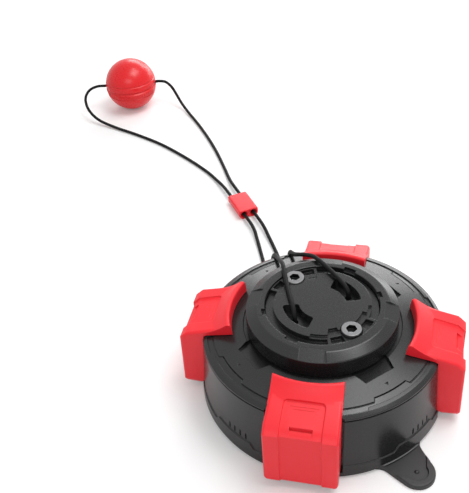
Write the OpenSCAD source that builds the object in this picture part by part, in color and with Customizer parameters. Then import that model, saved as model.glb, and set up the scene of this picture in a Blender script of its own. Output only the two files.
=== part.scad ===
// Suction cup tug toy for dogs: a round base with a rubber suction pad and four
// red locking levers, a swivelling hub on top, and an elastic cord with a slider and a ball.
// Millimetres, +Z up. The origin is the middle of the suction face, on the floor.
// Each lever is drawn on +X and turned to its place.

/* [Drum] */
// Radius of the drum wall at its top edge
rim_r = 80; // [76:1:100]
// How much wider the wall is at its foot
wall_flare = 3; // [1:0.5:5]
// Height of the wall's top edge above the floor
wall_top_z = 49; // [46:1:60]
// Thickness of the drum wall
wall = 3; // [2:0.5:3.5]
// Height of the floor plate's underside
plate_z = 14; // [13:0.5:18]
// Thickness of the floor plate
plate_t = 4; // [3:0.5:6]
// Height of the raised plinth on the wall's foot
plinth_h = 6.5; // [3:0.5:8]
// How far the plinth stands out of the wall
plinth_out = 0.7; // [0.4:0.1:1.5]
// Slots in each group on the wall
wall_slots = 4; // [2:1:6]

/* [Suction pad] */
// Thickness of the pad's lip
lip_t = 3.5; // [2.5:0.5:5]
// How far the lip stays inside the wall's foot
lip_inset = 0.5; // [0:0.5:3]
// Inner radius of the sealing face
seal_in_r = 62; // [50:1:66]
// Depth of the hollow under the pad
cup_depth = 3; // [1:0.5:3.5]
// Radius of the pad's middle boss
boss_r = 24; // [20:1:34]
// Distance of the tab's round end from the axis
tab_reach = 98; // [92:1:115]
// Half width of the tab where it leaves the lip
tab_root_half = 14.5; // [10:0.5:20]
// Radius of the tab's round end
tab_end_r = 11.5; // [7:0.5:12]
// Radius of the pad stud
stud_r = 4; // [3:0.5:5]

/* [Top cover] */
// Height of the cover's edge bevel
edge_h = 3.8; // [2:0.2:6]
// Width of the cover's edge bevel
edge_w = 2.5; // [1.5:0.5:5]
// Rise of the cone from its edge to the well
cone_rise = 4.4; // [3:0.2:8]
// Thickness of the cover
cover_t = 4.5; // [4:0.5:6]
// Depth of the four corner pockets
pocket_d = 2.6; // [1:0.2:3]
// Reach of the corner pockets beyond the well
pocket_out = 8.4; // [4:0.4:12]
// Width of the panel line
line_w = 0.7; // [0.4:0.1:1.5]

/* [Hub] */
// Radius of the hub collar
hub_r = 50; // [46:1:54]
// Height of the collar's wall over the swivel washer
collar_h = 12; // [9:0.5:18]
// Rise of the collar's bevel
bevel_rise = 3.5; // [2:0.5:6]
// Width of the collar's bevel
bevel_w = 6.4; // [5:0.2:8]
// Width of the collar's flat top ring
ring_w = 6.1; // [4:0.1:7]
// Width of the groove round the cap plate
groove_w = 5.5; // [4.5:0.1:6.5]
// Thickness of the cap plate
cap_t = 6.5; // [6:0.5:9]
// Radius at which the cord slots start
slot_in_r = 15.5; // [12:0.5:18]
// Radius at which the cord slots end
slot_out_r = 26; // [24:0.5:28]
// Half of the angle that a cord slot spans
slot_half = 31; // [20:1:33]
// Distance of the cap screws from the edge of the cap plate
screw_inset = 1.4; // [1:0.1:2]
// Radius of a cap screw's head
screw_head_r = 6.5; // [5.5:0.1:6.6]
// Radius of a cap screw's shank
screw_r = 4; // [3:0.5:4.5]

/* [Levers] */
// Gap between the hub and a lever's inner end
finger_gap = 10; // [8:0.5:14]
// Half width of a lever at its inner end
lever_half = 22; // [18:0.5:24]
// How much wider each side is at the skirt
lever_flare = 1.2; // [0:0.2:3]
// Height of the lever's top over the cover's well edge, at its inner end
lever_rise = 5.3; // [4.5:0.1:8]
// Height of the ridge at the inner end over the lever's flat top
ridge_rise = 4.4; // [3:0.2:6]
// Distance of the lever's fold outside the rim
fold_out = 8.2; // [7:0.1:10]
// Fall of the lever's top from its inner end to the fold
lever_fall = 8.7; // [7:0.1:10]
// Distance of the skirt's face outside the wall's foot
skirt_out = 11; // [10:0.5:13]
// How far the skirt's lower edge lies below the pin
skirt_drop = 7.5; // [6:0.5:8]
// Wall of a lever
lever_wall = 2.6; // [2:0.1:3]
// Half width of a lever's sunk panel
panel_half = 13; // [9:0.5:16]
// Depth of the sunk panel
panel_d = 1; // [0.4:0.1:1.4]
// Radius of a lever pin
pin_r = 2; // [1.5:0.1:2.2]
// Height of a lever pin above the floor
pin_z = 13; // [12.5:0.5:15]

/* [Cord, slider and ball] */
// Diameter of the cord
cord_d = 3; // [2:0.5:3.5]
// Diameter of the ball
ball_d = 55; // [48:1:65]
// Length of the slider
slider_l = 28; // [20:1:34]
// Width of the slider
slider_w = 18; // [15:1:24]
// Thickness of the slider
slider_t = 9; // [7:0.5:11]

/* [Fits] */
// Clearance between pieces that pass each other
gap = 0.4; // [0.3:0.05:0.5]
// Running clearance of a pin or a shaft in its hole
run = 0.06; // [0.03:0.01:0.1]
// Clearance round a piece that is fixed in another
seat = 0.05; // [0.02:0.01:0.08]
// Clearance of a screw or stud in the hole that it passes through
pass = 0.3; // [0.2:0.05:0.4]

/* [Hidden] */
$fn = 96;
eps = 0.01;
front = -90;
right = 0;
back = 90;
left = 180;
corners = [45, 135, 225, 315];
sides = [front, right, back, left];

// Drum
foot_r = rim_r + wall_flare;
function wall_r(z) = foot_r - wall_flare * (z - lip_t) / (wall_top_z - lip_t);
plate_top = plate_z + plate_t;
bay_half = lever_half + lever_flare + 1;
bay_x = rim_r - 2.8;
bay_in_x = bay_x - wall;
bay_side = 2;

// Levers, in the section through the middle of one
pin_x = foot_r + 3;
lever_in_r = hub_r + finger_gap;
lever_in_x = sqrt(pow(lever_in_r, 2) - pow(lever_half, 2));
fold_x = rim_r + fold_out;
skirt_x = foot_r + skirt_out;
knee_x = skirt_x - 2;
knee_drop = 6.4;
skirt_z = pin_z - skirt_drop;
cheek_in = lever_half - 3;
ear_t = 4;
ear_in = 11;
ear_r = 3.6;
arm_half = 6;
arm_t = 3.9;
pin_half = cheek_in + 2.5;

// Cover
edge_r = rim_r - edge_w;
edge_z = wall_top_z + edge_h;
well_r = hub_r + 2.4;
well_edge_z = edge_z + cone_rise;
well_z = well_edge_z - 1.2;
well_t = 3.5;
function cone_z(r) = edge_z + cone_rise * (edge_r - r) / (edge_r - well_r);
spigot_h = 5;
post_ring_r = rim_r - 14;
post_r = 4.5;
tap_r = 1.5;
screw_grip = 14;

// Lever section heights follow the cover
lever_in_z = well_edge_z + lever_rise - 0.6;
fold_z = lever_in_z - lever_fall;
function top_z(x) = lever_in_z - lever_fall * (x - lever_in_x) / (fold_x - lever_in_x);
panel_in_x = lever_in_x + 15.5;
ridge_r = lever_in_r + 2.8;
ridge_z = top_z(ridge_r) + ridge_rise;
knee_z = fold_z - knee_drop;

// Hub
barrel_r = hub_r - 6.5;
barrel_in_r = barrel_r - 4;
washer_t = 0.8;
collar_z = well_z + washer_t + 0.1;
bevel_z = collar_z + collar_h;
collar_top = bevel_z + bevel_rise;
bevel_in_r = hub_r - bevel_w;
groove_r = bevel_in_r - ring_w;
cap_r = groove_r - groove_w;
screw_ring_r = cap_r - screw_inset;
cap_top = collar_top + 0.5;
cap_z = cap_top - cap_t;
web_t = 4.5;
web_z = cap_z - web_t;
retainer_top = well_z - well_t - gap;
retainer_t = 4;
retainer_r = hub_r - 2;
head_h = 4.5;
head_top = cap_top + 0.7;
slot_mid = 45;
screw_angles = [135, 315];
slot_angles = [slot_mid, slot_mid + 180];
cord_hole_ring = 21;
cord_hole_angle = 42;
cord_r = cord_d / 2;
cord_hole_r = cord_r + 0.7;
knot_r = 4;

// Slider and ball lie on the floor; the slider points along the cord
slider_at = [-99.5, 191.7];
slider_turn = 125;
strand_half = 4.5;
ball_at = [-264.8, 370.1];
ball_turn = 16;
ball_r = ball_d / 2;
ball_bore_r = cord_r + gap;

// Routes of the two strands: up out of the hub, over the collar and the rim, along the floor
left_route = [
    [-15.6, -14.1, 62], [-15.6, -14.1, 68], [-16, -13.2, 71.5], [-17, -10.4, 74.2], [-18.8, -5.5, 75.2],
    [-22, 3, 75.2], [-25.5, 13, 75.2], [-29, 24, 75.1], [-32, 33.5, 73.8], [-34.5, 41, 69.6],
    [-37, 48, 65], [-40, 56, 59.8], [-43.5, 65, 54.7], [-45.9, 71, 50], [-47.8, 75.3, 44.2],
    [-49.3, 78.6, 36], [-50.4, 80.8, 26], [-51.7, 83.6, 15.2], [-54.2, 89.5, 6.5], [-58, 98.5, 2.6],
    [-63, 111, 1.7], [-70, 129, 1.7], [-77, 146.5, 2.6], [-84.8, 163, 4.5], [-103.2, 189.2, 4.5],
    [-121.6, 215.4, 4.5], [-134, 231.5, 2.4], [-150, 248, 1.7], [-176, 268.5, 1.7], [-208, 290, 1.7],
    [-240, 306, 1.7], [-268, 317, 2.4], [-290, 325.5, 5.5], [-304, 334.5, 12], [-310.5, 345, 19.5],
    [-308.5, 354, 25], [-301, 359.5, 27.5], [-291, 362.6, 27.5], [-278, 366.3, 27.5], [-264.8, 370.1, 27.5]];
right_route = [
    [15.6, 14.1, 62], [15.6, 14.1, 68], [15, 14.8, 71.5], [12.8, 17.2, 74.2], [9, 21.6, 75.2],
    [4.4, 27, 75.2], [-1, 33, 75.2], [-7, 39.3, 75], [-12.5, 45, 73.8], [-18.2, 50.2, 70.3],
    [-24.2, 55.3, 65.8], [-28.2, 61, 61], [-31.4, 66.8, 57], [-33.8, 72.4, 53.4], [-35.5, 77, 47.6],
    [-36.6, 80.2, 38], [-37.4, 82.6, 26], [-38.5, 85.4, 15], [-40.6, 91.2, 6.5], [-43.8, 100.5, 2.6],
    [-48.6, 113, 1.7], [-57.6, 132.4, 1.7], [-67.6, 151.4, 2.6], [-77.4, 168.1, 4.5], [-95.8, 194.3, 4.5],
    [-114.2, 220.5, 4.5], [-123, 236, 2.4], [-133, 256, 1.7], [-148, 284, 1.7], [-165, 312, 1.7],
    [-182, 337, 1.7], [-197, 356.5, 2.6], [-208, 369, 6.5], [-215.5, 376.5, 13], [-221.5, 380.5, 20],
    [-228, 381.2, 25.5], [-234.5, 379, 27.5], [-239, 377.5, 27.5], [-252, 373.8, 27.5],
    [-264.8, 370.1, 27.5]];

function unit(v) = v / norm(v);
function along(p, i) = unit(p[min(i + 1, len(p) - 1)] - p[max(i - 1, 0)]);
function across(p, i, n) = unit(n - (n * along(p, i)) * along(p, i));
function side_axes(p, i = 0, n = [1, 0, 0]) =
    i == len(p) ? [] : concat([across(p, i, n)], side_axes(p, i + 1, across(p, i, n)));

// A round cord swept along its route's points
module cord_tube(p, r, sides) {
    n = side_axes(p);
    points = [for (i = [0 : len(p) - 1], k = [0 : sides - 1])
        let (a = 360 * k / sides)
        p[i] + r * (cos(a) * n[i] + sin(a) * cross(along(p, i), n[i]))];
    last = (len(p) - 1) * sides;
    around = [for (i = [0 : len(p) - 2], k = [0 : sides - 1])
        let (a = i * sides + k, b = i * sides + (k + 1) % sides)
        each [[a, a + sides, b], [b, a + sides, b + sides]]];
    ends = [[for (k = [0 : sides - 1]) k], [for (k = [sides - 1 : -1 : 0]) last + k]];
    polyhedron(points, concat(around, ends), convexity = 10);
}

// A round piece with its own bore, standing on z
module ring(r_out, r_in, z, h) {
    translate([0, 0, z]) difference() {
        cylinder(r = r_out, h = h);
        translate([0, 0, -1]) cylinder(r = r_in, h = h + 2);
    }
}

// A flat piece of a ring, between two angles
module sector(r_in, r_out, half, h) {
    linear_extrude(h) intersection() {
        difference() {
            circle(r_out);
            circle(r_in);
        }
        polygon([[0, 0], 3 * r_out * [cos(half), -sin(half)], 3 * r_out * [cos(half), sin(half)]]);
    }
}

// A box given by its lowest and highest corners
module block(low, high) {
    translate(low) cube(high - low);
}

// A shape of the lever's section, drawn with x outward and z up
module across_lever(half) {
    translate([0, half, 0]) rotate([90, 0, 0]) linear_extrude(2 * half) children();
}

// Rubber suction pad with its sealing lip, middle boss and pull tab
lip_r = foot_r - lip_inset;
arm_tip_x = bay_in_x - 3.7;
stem_x = arm_tip_x - 6.5;
stem_r = 3;
foot_in_x = stem_x - 3.5;
foot_half = 8;
foot_t = 3.5;
arm_z = lip_t + foot_t + 0.1;
pad_body_t = 4.5;
stud_plate_r = boss_r - 7;
stud_plate_z = lip_t + 3.5;
stud_plate_t = 2.5;
stud_top = plate_top + 9;
tab_angle = -45;

module tab_outline(inset, start_x) {
    taper = (tab_root_half - tab_end_r) / (tab_reach - lip_r);
    end_half = tab_end_r - inset;
    start_half = end_half + taper * (tab_reach - start_x);
    polygon([
        [start_x, -start_half], [tab_reach, -end_half], [tab_reach, end_half], [start_x, start_half]]);
    translate([tab_reach, 0]) circle(end_half);
}

module pad_tab() {
    tab_t = lip_t - 0.6;
    sunk = 0.8;
    tab_rim = 2;
    nub_r = 1.6;
    nub_h = 2.2;
    translate([0, 0, (lip_t - tab_t) / 2]) {
        difference() {
            linear_extrude(tab_t) tab_outline(0, lip_r - 12);
            translate([0, 0, tab_t - sunk]) linear_extrude(tab_t) tab_outline(tab_rim, lip_r + 6);
        }
        translate([tab_reach, 0, tab_t - sunk - eps]) rotate_extrude() polygon([
            [0, 0], [nub_r, 0], [nub_r, nub_h / 2], [nub_r / 2, nub_h], [0, nub_h]]);
    }
}

module stud_shape(clear) {
    translate([0, 0, stud_plate_z - clear]) cylinder(r = stud_plate_r + clear, h = stud_plate_t + 2 * clear);
    translate([0, 0, stud_plate_z]) cylinder(r = stud_r + clear, h = stud_top - stud_plate_z);
}

module suction_pad() {
    lip_flat_r = foot_in_x - 0.5;
    body_z = lip_t + pad_body_t;
    body_slope = 6;
    boss_slope = 4;
    color("#232325") difference() {
        union() {
            rotate_extrude() polygon([
                [0, cup_depth], [boss_r, cup_depth], [seal_in_r, 0], [lip_r, 0], [lip_r, lip_t],
                [lip_flat_r, lip_t], [lip_flat_r - body_slope, body_z], [boss_r + boss_slope, body_z],
                [boss_r, plate_z], [0, plate_z]]);
            rotate(tab_angle) pad_tab();
        }
        stud_shape(seat);
    }
}

// Steel stud moulded into the pad
module pad_stud() {
    color("silver") stud_shape(0);
}

nut_af = 13;
stud_washer_t = 1.6;
nut_h = 6.5;

module stud_washer() {
    color("silver") ring(stud_r + 8, stud_r + pass, plate_top, stud_washer_t);
}

module stud_nut() {
    color("silver") translate([0, 0, plate_top + stud_washer_t]) difference() {
        cylinder(r = nut_af / 2 / cos(30), h = nut_h, $fn = 6);
        translate([0, 0, -1]) cylinder(r = stud_r + seat, h = nut_h + 2);
    }
}

// Drum: flared wall, floor plate, four flat bays with the ears of the lever pins
module wall_cone(grow, z_low, z_high) {
    rotate_extrude() polygon([
        [0, z_low], [wall_r(z_low) + grow, z_low], [wall_r(z_high) + grow, z_high], [0, z_high]]);
}

module lever_ear() {
    difference() {
        union() {
            block([bay_in_x + eps, 0, pin_z - ear_r], [pin_x, ear_t, pin_z + ear_r]);
            translate([pin_x, ear_t, pin_z]) rotate([90, 0, 0]) cylinder(r = ear_r, h = ear_t);
        }
        translate([pin_x, ear_t + 1, pin_z]) rotate([90, 0, 0]) cylinder(r = pin_r + run, h = ear_t + 2);
    }
}

module plinth() {
    step_h = 4;
    step_half = 10.5;
    step_turn = 9;
    difference() {
        union() {
            wall_cone(plinth_out, lip_t, lip_t + plinth_h);
            intersection() {
                wall_cone(plinth_out, lip_t, lip_t + plinth_h + step_h);
                for (c = corners) rotate(c + step_turn) sector(1, foot_r + 9, step_half, wall_top_z);
            }
        }
        translate([0, 0, -1]) cylinder(r = rim_r - wall / 2, h = wall_top_z);
    }
}

module wall_slot_groups() {
    slot_w = 1.1;
    slot_h = 5;
    slot_deep = 1.2;
    slot_z = plate_z + 0.5;
    first_turn = 7;
    turn_step = 3.4;
    for (c = corners, k = [0 : wall_slots - 1])
        rotate(c + first_turn + k * turn_step) block(
            [wall_r(slot_z) - slot_deep, -slot_w / 2, slot_z], [foot_r + 5, slot_w / 2, slot_z + slot_h]);
}

module drum_body() {
    rotate_extrude() polygon([
        [foot_r - wall, lip_t], [foot_r, lip_t], [rim_r, wall_top_z], [rim_r - wall, wall_top_z]]);
    plinth();
    translate([0, 0, plate_z]) cylinder(r = wall_r(plate_z) - wall / 2, h = plate_t);
    intersection() {
        wall_cone(0, lip_t, wall_top_z);
        for (a = sides) rotate(a)
            block([bay_in_x, -bay_half - bay_side, lip_t], [bay_x + 9, bay_half + bay_side, wall_top_z]);
    }
}

module drum() {
    window_half = arm_half + 1;
    window_z = arm_z - 0.8;
    color("#34363a") difference() {
        union() {
            difference() {
                drum_body();
                for (a = sides) rotate(a)
                    block([bay_x, -bay_half, 0], [bay_x + rim_r, bay_half, wall_top_z + 1]);
                wall_slot_groups();
            }
            for (a = sides, s = [0, 1]) rotate(a) mirror([0, s, 0]) translate([0, ear_in, 0]) lever_ear();
        }
        for (a = sides) rotate(a) {
            block([bay_in_x - 1, -window_half, window_z], [bay_x + 1, window_half, pin_z + 17]);
            block([arm_tip_x - 1.5, -window_half, plate_z - 1], [bay_in_x + 1, window_half, plate_top + 1]);
            translate([stem_x, 0, plate_z - 1]) cylinder(r = stem_r + run, h = plate_t + 2);
        }
        translate([0, 0, plate_z - 1]) cylinder(r = stud_r + pass, h = plate_t + 2);
        for (c = corners) rotate(c) translate([post_ring_r, 0, plate_z - 1])
            cylinder(r = tap_r + pass, h = plate_t + 2);
    }
}

// Top cover: low cone with a well for the hub, four corner pockets and a stepped panel line
module corner_pocket() {
    inner_half = 15;
    outer_half = 11;
    translate([0, 0, well_edge_z - pocket_d]) linear_extrude(pocket_d + 1) polygon([
        [well_r - 1, -inner_half], [well_r + pocket_out, -outer_half],
        [well_r + pocket_out, outer_half], [well_r - 1, inner_half]]);
}

line_d = 0.6;

module line_arc(r, from, to) {
    rotate((from + to) / 2) translate([0, 0, cone_z(r) - line_d])
        sector(r - line_w / 2, r + line_w / 2, (to - from) / 2, line_d + 1);
}

module panel_line() {
    out_r = edge_r - 2.7;
    in_r = edge_r - 5.7;
    jogs = [-11.7, 8];
    reach = 27;
    past = 0.45;
    line_arc(out_r, -reach, jogs[0] + past);
    line_arc(in_r, jogs[0] - past, jogs[1] + past);
    line_arc(out_r, jogs[1] - past, reach);
    for (j = jogs) rotate(j)
        block([in_r, -line_w / 2, cone_z(out_r) - line_d], [out_r, line_w / 2, cone_z(in_r) + 1]);
}

module cover_profile() {
    hole_r = barrel_r + 0.1;
    spigot_out = rim_r - wall - 0.3;
    spigot_in = spigot_out - 3;
    rotate_extrude() polygon([
        [rim_r, wall_top_z], [edge_r, edge_z], [well_r, well_edge_z], [well_r, well_z], [hole_r, well_z],
        [hole_r, well_z - well_t], [well_r, well_z - well_t], [spigot_in, cone_z(spigot_in) - cover_t],
        [spigot_in, wall_top_z - spigot_h], [spigot_out, wall_top_z - spigot_h], [spigot_out, wall_top_z]]);
}

module top_cover() {
    mark_r = 1.3;
    mark_d = 0.5;
    mark_ring = well_r + 14;
    mark_turn = 10;
    color("#45474b") difference() {
        union() {
            cover_profile();
            for (c = corners) rotate(c) translate([post_ring_r, 0, plate_top])
                cylinder(r = post_r, h = cone_z(post_ring_r) - 1.5 - plate_top);
        }
        for (a = sides) rotate(a) {
            block([bay_in_x - gap, -bay_half - bay_side - gap, 0],
                [rim_r + 9, bay_half + bay_side + gap, wall_top_z]);
            block([bay_x - gap / 2, -bay_half, 0], [rim_r + 9, bay_half, edge_z + 9]);
        }
        for (c = corners) rotate(c) {
            corner_pocket();
            panel_line();
            translate([post_ring_r, 0, plate_top - 1]) cylinder(r = tap_r, h = screw_grip + 6);
            rotate(mark_turn) translate([mark_ring, 0, cone_z(mark_ring) - mark_d])
                cylinder(r = mark_r, h = 3, $fn = 3);
        }
    }
}

module cover_screws() {
    head_r = 3.2;
    head_t = 2.2;
    color("dimgray") for (c = corners) rotate(c) translate([post_ring_r, 0, plate_z]) {
        translate([0, 0, -head_t]) cylinder(r = head_r, h = head_t);
        translate([0, 0, -eps]) cylinder(r = tap_r - seat, h = plate_t + screw_grip);
    }
}

// Swivel: washer in the well, collar on top, retainer below the cover
module swivel_washer() {
    color("whitesmoke") ring(hub_r - 1.5, barrel_r + 0.5, well_z, washer_t);
}

module at_screws() {
    for (a = screw_angles) rotate(a) translate([screw_ring_r, 0, 0]) children();
}

module at_cord_holes() {
    for (a = [0, 180]) rotate(cord_hole_angle + a) translate([cord_hole_ring, 0, 0]) children();
}

module bevel_patches() {
    patch_half = 10;
    patch_d = 0.5;
    patch_in_r = bevel_in_r - 2.4;
    intersection() {
        rotate_extrude() polygon([
            [patch_in_r, collar_top - patch_d / 2], [hub_r, bevel_z - patch_d], [hub_r + 2, bevel_z - patch_d],
            [hub_r + 2, collar_top + 2], [patch_in_r, collar_top + 2]]);
        for (a = sides) rotate(a) sector(1, hub_r + 5, patch_half, collar_top + 5);
    }
}

module collar_notches() {
    notch_turns = [17.5, 75, 197.5, 255];
    notch_half = 1.8;
    notch_out = 2.4;
    notch_d = 2;
    for (a = notch_turns) rotate(a) block(
        [groove_r - 1, -notch_half, collar_top - notch_d],
        [groove_r + notch_out, notch_half, collar_top + 1]);
}

module hub_collar() {
    foot_chamfer = 0.8;
    color("#2c2d30") difference() {
        rotate_extrude() polygon([
            [0, web_z], [barrel_in_r, web_z], [barrel_in_r, retainer_top], [barrel_r, retainer_top],
            [barrel_r, collar_z], [hub_r - foot_chamfer, collar_z], [hub_r, collar_z + foot_chamfer],
            [hub_r, bevel_z], [bevel_in_r, collar_top], [groove_r, collar_top], [groove_r, cap_z],
            [0, cap_z]]);
        bevel_patches();
        collar_notches();
        at_screws() translate([0, 0, web_z - 1]) cylinder(r = screw_r + pass, h = web_t + 2);
        at_cord_holes() translate([0, 0, web_z - 1]) cylinder(r = cord_hole_r, h = web_t + 2);
    }
}

module hub_cap() {
    cap_chamfer = 0.8;
    ear_half = 28;
    ear_drop = 2.6;
    ledge_half = 47;
    ledge_d = 1.5;
    ledge_r = cap_r - 5;
    color("#4a4c50") difference() {
        union() {
            rotate_extrude() polygon([
                [0, cap_z], [cap_r, cap_z], [cap_r, cap_top - cap_chamfer], [cap_r - cap_chamfer, cap_top],
                [0, cap_top]]);
            for (a = screw_angles) rotate(a) translate([0, 0, cap_z])
                sector(cap_r - 4, groove_r - gap, ear_half, cap_t - ear_drop);
        }
        for (a = screw_angles) rotate(a) translate([0, 0, cap_top - ledge_d])
            sector(ledge_r, cap_r + 1, ledge_half, cap_t);
        for (a = slot_angles) rotate(a) translate([0, 0, cap_z - 1])
            sector(slot_in_r, slot_out_r, slot_half, cap_t + 2);
        at_screws() {
            translate([0, 0, head_top - head_h]) cylinder(r = screw_head_r + 0.5, h = head_h + 1);
            translate([0, 0, cap_z - 1]) cylinder(r = screw_r + pass, h = cap_t + 2);
        }
    }
}

module cap_screws() {
    hex_af = 6;
    hex_d = 3;
    head_chamfer = 0.5;
    shank_r = screw_r - seat;
    color("darkgray") at_screws() difference() {
        rotate_extrude() polygon([
            [0, retainer_top - retainer_t], [shank_r, retainer_top - retainer_t],
            [shank_r, head_top - head_h], [screw_head_r, head_top - head_h],
            [screw_head_r, head_top - head_chamfer], [screw_head_r - head_chamfer, head_top], [0, head_top]]);
        translate([0, 0, head_top - hex_d]) cylinder(r = hex_af / 2 / cos(30), h = hex_d + 1, $fn = 6);
    }
}

module hub_retainer() {
    inner_r = 18;
    stand_r = 7;
    color("#2c2d30") difference() {
        union() {
            ring(retainer_r, inner_r, retainer_top - retainer_t, retainer_t);
            at_screws() translate([0, 0, retainer_top - eps])
                cylinder(r = stand_r, h = web_z - retainer_top + eps);
        }
        at_screws() translate([0, 0, retainer_top - retainer_t - 1]) cylinder(r = screw_r, h = collar_top);
    }
}

// Stopper knots of the cord, under the web of the collar
module cord_knots() {
    cord_start_z = left_route[0][2];
    color("#18181a") at_cord_holes() intersection() {
        translate([0, 0, web_z - 3.5]) sphere(knot_r);
        translate([0, 0, cord_start_z - 3 * knot_r]) cylinder(r = knot_r + 1, h = 3 * knot_r);
    }
}

// Lever: a bent shell over the rim, on a pin near its foot, with an arm that reaches into the drum
swing_r = pin_x - bay_x - gap;
cheek_x = bay_x + gap + 0.3;
cheek_low_x = cheek_x + 0.7;
cheek_low_z = pin_z - sqrt(max(1, pow(swing_r, 2) - pow(pin_x - cheek_low_x, 2)));
cheek_foot_x = pin_x - sqrt(max(1, pow(swing_r, 2) - pow(skirt_drop, 2)));
chamfer_z = skirt_z + 3;
chamfer_x = skirt_x - 1.5;
top_slope = atan(lever_fall / (fold_x - lever_in_x));

module lever_section() {
    start_x = lever_in_x - 3;
    polygon([
        [start_x, top_z(start_x)], [fold_x, fold_z], [knee_x, knee_z], [skirt_x, chamfer_z],
        [chamfer_x, skirt_z], [cheek_foot_x, skirt_z], [cheek_low_x, cheek_low_z], [cheek_low_x, plate_top],
        [cheek_x, wall_top_z], [cheek_x, cone_z(cheek_x) + gap], [start_x, cone_z(start_x) + gap]]);
}

module lever_hollow() {
    end_x = lever_in_r + 4.5;
    bend_x = fold_x - 1.6;
    drop = lever_wall / cos(top_slope);
    polygon([
        [end_x, top_z(end_x) - drop], [bend_x, top_z(bend_x) - drop],
        [knee_x - lever_wall, knee_z - 1.2], [skirt_x - lever_wall - 0.1, chamfer_z],
        [skirt_x - lever_wall - 0.1, 0], [end_x, 0]]);
}

module lever_arm() {
    knuckle_r = ear_r + 0.6;
    translate([pin_x, pin_z]) circle(knuckle_r);
    polygon([
        [pin_x, pin_z - knuckle_r], [skirt_x - 2, pin_z - knuckle_r], [skirt_x - 2.2, pin_z + knuckle_r],
        [pin_x, pin_z + knuckle_r]]);
    polygon([
        [pin_x, pin_z + knuckle_r], [arm_tip_x, arm_z + arm_t], [arm_tip_x, arm_z], [bay_x - 1, arm_z],
        [pin_x, pin_z - knuckle_r]]);
}

// What the sunk panel takes off the top, the bevel and the skirt
module panel_section() {
    bend_x = fold_x - 0.5;
    polygon([
        [panel_in_x, top_z(panel_in_x) - panel_d], [bend_x, top_z(bend_x) - panel_d],
        [knee_x - panel_d, knee_z - 0.4], [skirt_x - panel_d, chamfer_z],
        [chamfer_x - panel_d, skirt_z - 1], [skirt_x + 5, skirt_z - 1], [skirt_x + 5, fold_z + 20],
        [panel_in_x, fold_z + 20]]);
}

module fold_notch() {
    notch_d = panel_d + 1.4;
    notch_x = fold_x - 0.9;
    notch_low_z = knee_z + 0.6;
    polygon([
        [notch_x, top_z(notch_x) - notch_d], [knee_x - panel_d - 0.1, notch_low_z], [fold_x + 9, notch_low_z],
        [fold_x + 9, fold_z + 9], [notch_x, fold_z + 9]]);
}

// Ridge round the inner end of a lever, concentric with the hub
module lever_ridge() {
    low_z = cone_z(lever_in_r) + gap + 0.05;
    end_r = ridge_r + 12.7;
    rotate_extrude() polygon([
        [lever_in_r, low_z], [lever_in_r + 0.6, ridge_z - 3], [ridge_r - 1.3, ridge_z - 0.5], [ridge_r, ridge_z],
        [ridge_r + 1.4, ridge_z - 0.4], [ridge_r + 4.2, ridge_z - 2.3], [ridge_r + 7.2, ridge_z - 4.7],
        [end_r - 2.5, top_z(end_r - 2.5) + 0.4], [end_r, top_z(end_r) - 0.15], [end_r, low_z]]);
}

module lever_shell() {
    plan_x = [lever_in_x - 6, skirt_x + 3];
    function half_at(x) = lever_half + lever_flare * (x - lever_in_x) / (skirt_x - lever_in_x);
    difference() {
        intersection() {
            union() {
                difference() {
                    across_lever(bay_half + 5) lever_section();
                    cylinder(r = lever_in_r + 2, h = 2 * fold_z);
                }
                lever_ridge();
            }
            linear_extrude(2 * fold_z) polygon([
                [plan_x[0], -half_at(plan_x[0])], [plan_x[1], -half_at(plan_x[1])],
                [plan_x[1], half_at(plan_x[1])], [plan_x[0], half_at(plan_x[0])]]);
        }
        across_lever(cheek_in) lever_hollow();
        across_lever(panel_half) panel_section();
        across_lever(panel_half * 0.56) fold_notch();
    }
}

module pin_bar(r, half) {
    translate([pin_x, half, pin_z]) rotate([90, 0, 0]) cylinder(r = r, h = 2 * half);
}

module lever() {
    corner_cut = 3.5;
    outer_half = lever_half + lever_flare + 1;
    mark_half = panel_half - 4;
    mark_in = 3;
    mark_w = 0.5;
    mark_d = 0.4;
    color("#e3242f") difference() {
        union() {
            lever_shell();
            across_lever(arm_half) lever_arm();
        }
        pin_bar(pin_r + 0.02, pin_half + 0.1);
        for (s = [0, 1]) mirror([0, s, 0]) translate([pin_x, 0, 0]) rotate([90, 0, 90]) linear_extrude(pin_x)
            polygon([
                [outer_half, skirt_z - 1], [outer_half, skirt_z + corner_cut],
                [outer_half - corner_cut - 1, skirt_z - 1]]);
        for (x = [mark_in, 1.5 * mark_in] + panel_in_x * [1, 1]) translate([x, 0, top_z(x) - panel_d])
            rotate([0, top_slope, 0]) block([-mark_w / 2, -mark_half, -mark_d], [mark_w / 2, mark_half, 2]);
    }
}

module lever_pin() {
    color("silver") pin_bar(pin_r, pin_half);
}

// Foot that the lever's arm pushes down on the pad's lip, guided by its stem in the floor plate
module pressure_foot() {
    color("#3a3c40") {
        block([foot_in_x, -foot_half, lip_t], [bay_in_x - gap, foot_half, lip_t + foot_t]);
        translate([stem_x, 0, lip_t + foot_t - eps]) cylinder(r = stem_r, h = plate_top + 3 - lip_t - foot_t);
    }
}

// Elastic cord, slider and ball
module cord_left() {
    color("#141416") cord_tube(left_route, cord_r, 8);
}

module cord_right() {
    color("#141416") cord_tube(right_route, cord_r, 8);
}

module rounded_rect(w, h, r) {
    square([w - 2 * r, h], center = true);
    square([w, h - 2 * r], center = true);
    for (x = [-1, 1], y = [-1, 1]) translate([x * (w / 2 - r), y * (h / 2 - r)]) circle(r);
}

module cord_slider() {
    slider_corner = 3;
    color("#e8202c") translate([slider_at.x, slider_at.y, slider_t / 2]) rotate([0, 0, slider_turn])
        rotate([90, 0, 90]) linear_extrude(slider_l, center = true) difference() {
            rounded_rect(slider_w, slider_t, slider_corner);
            for (s = [-1, 1]) translate([s * strand_half, 0]) circle(cord_r + gap);
        }
}

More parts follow.
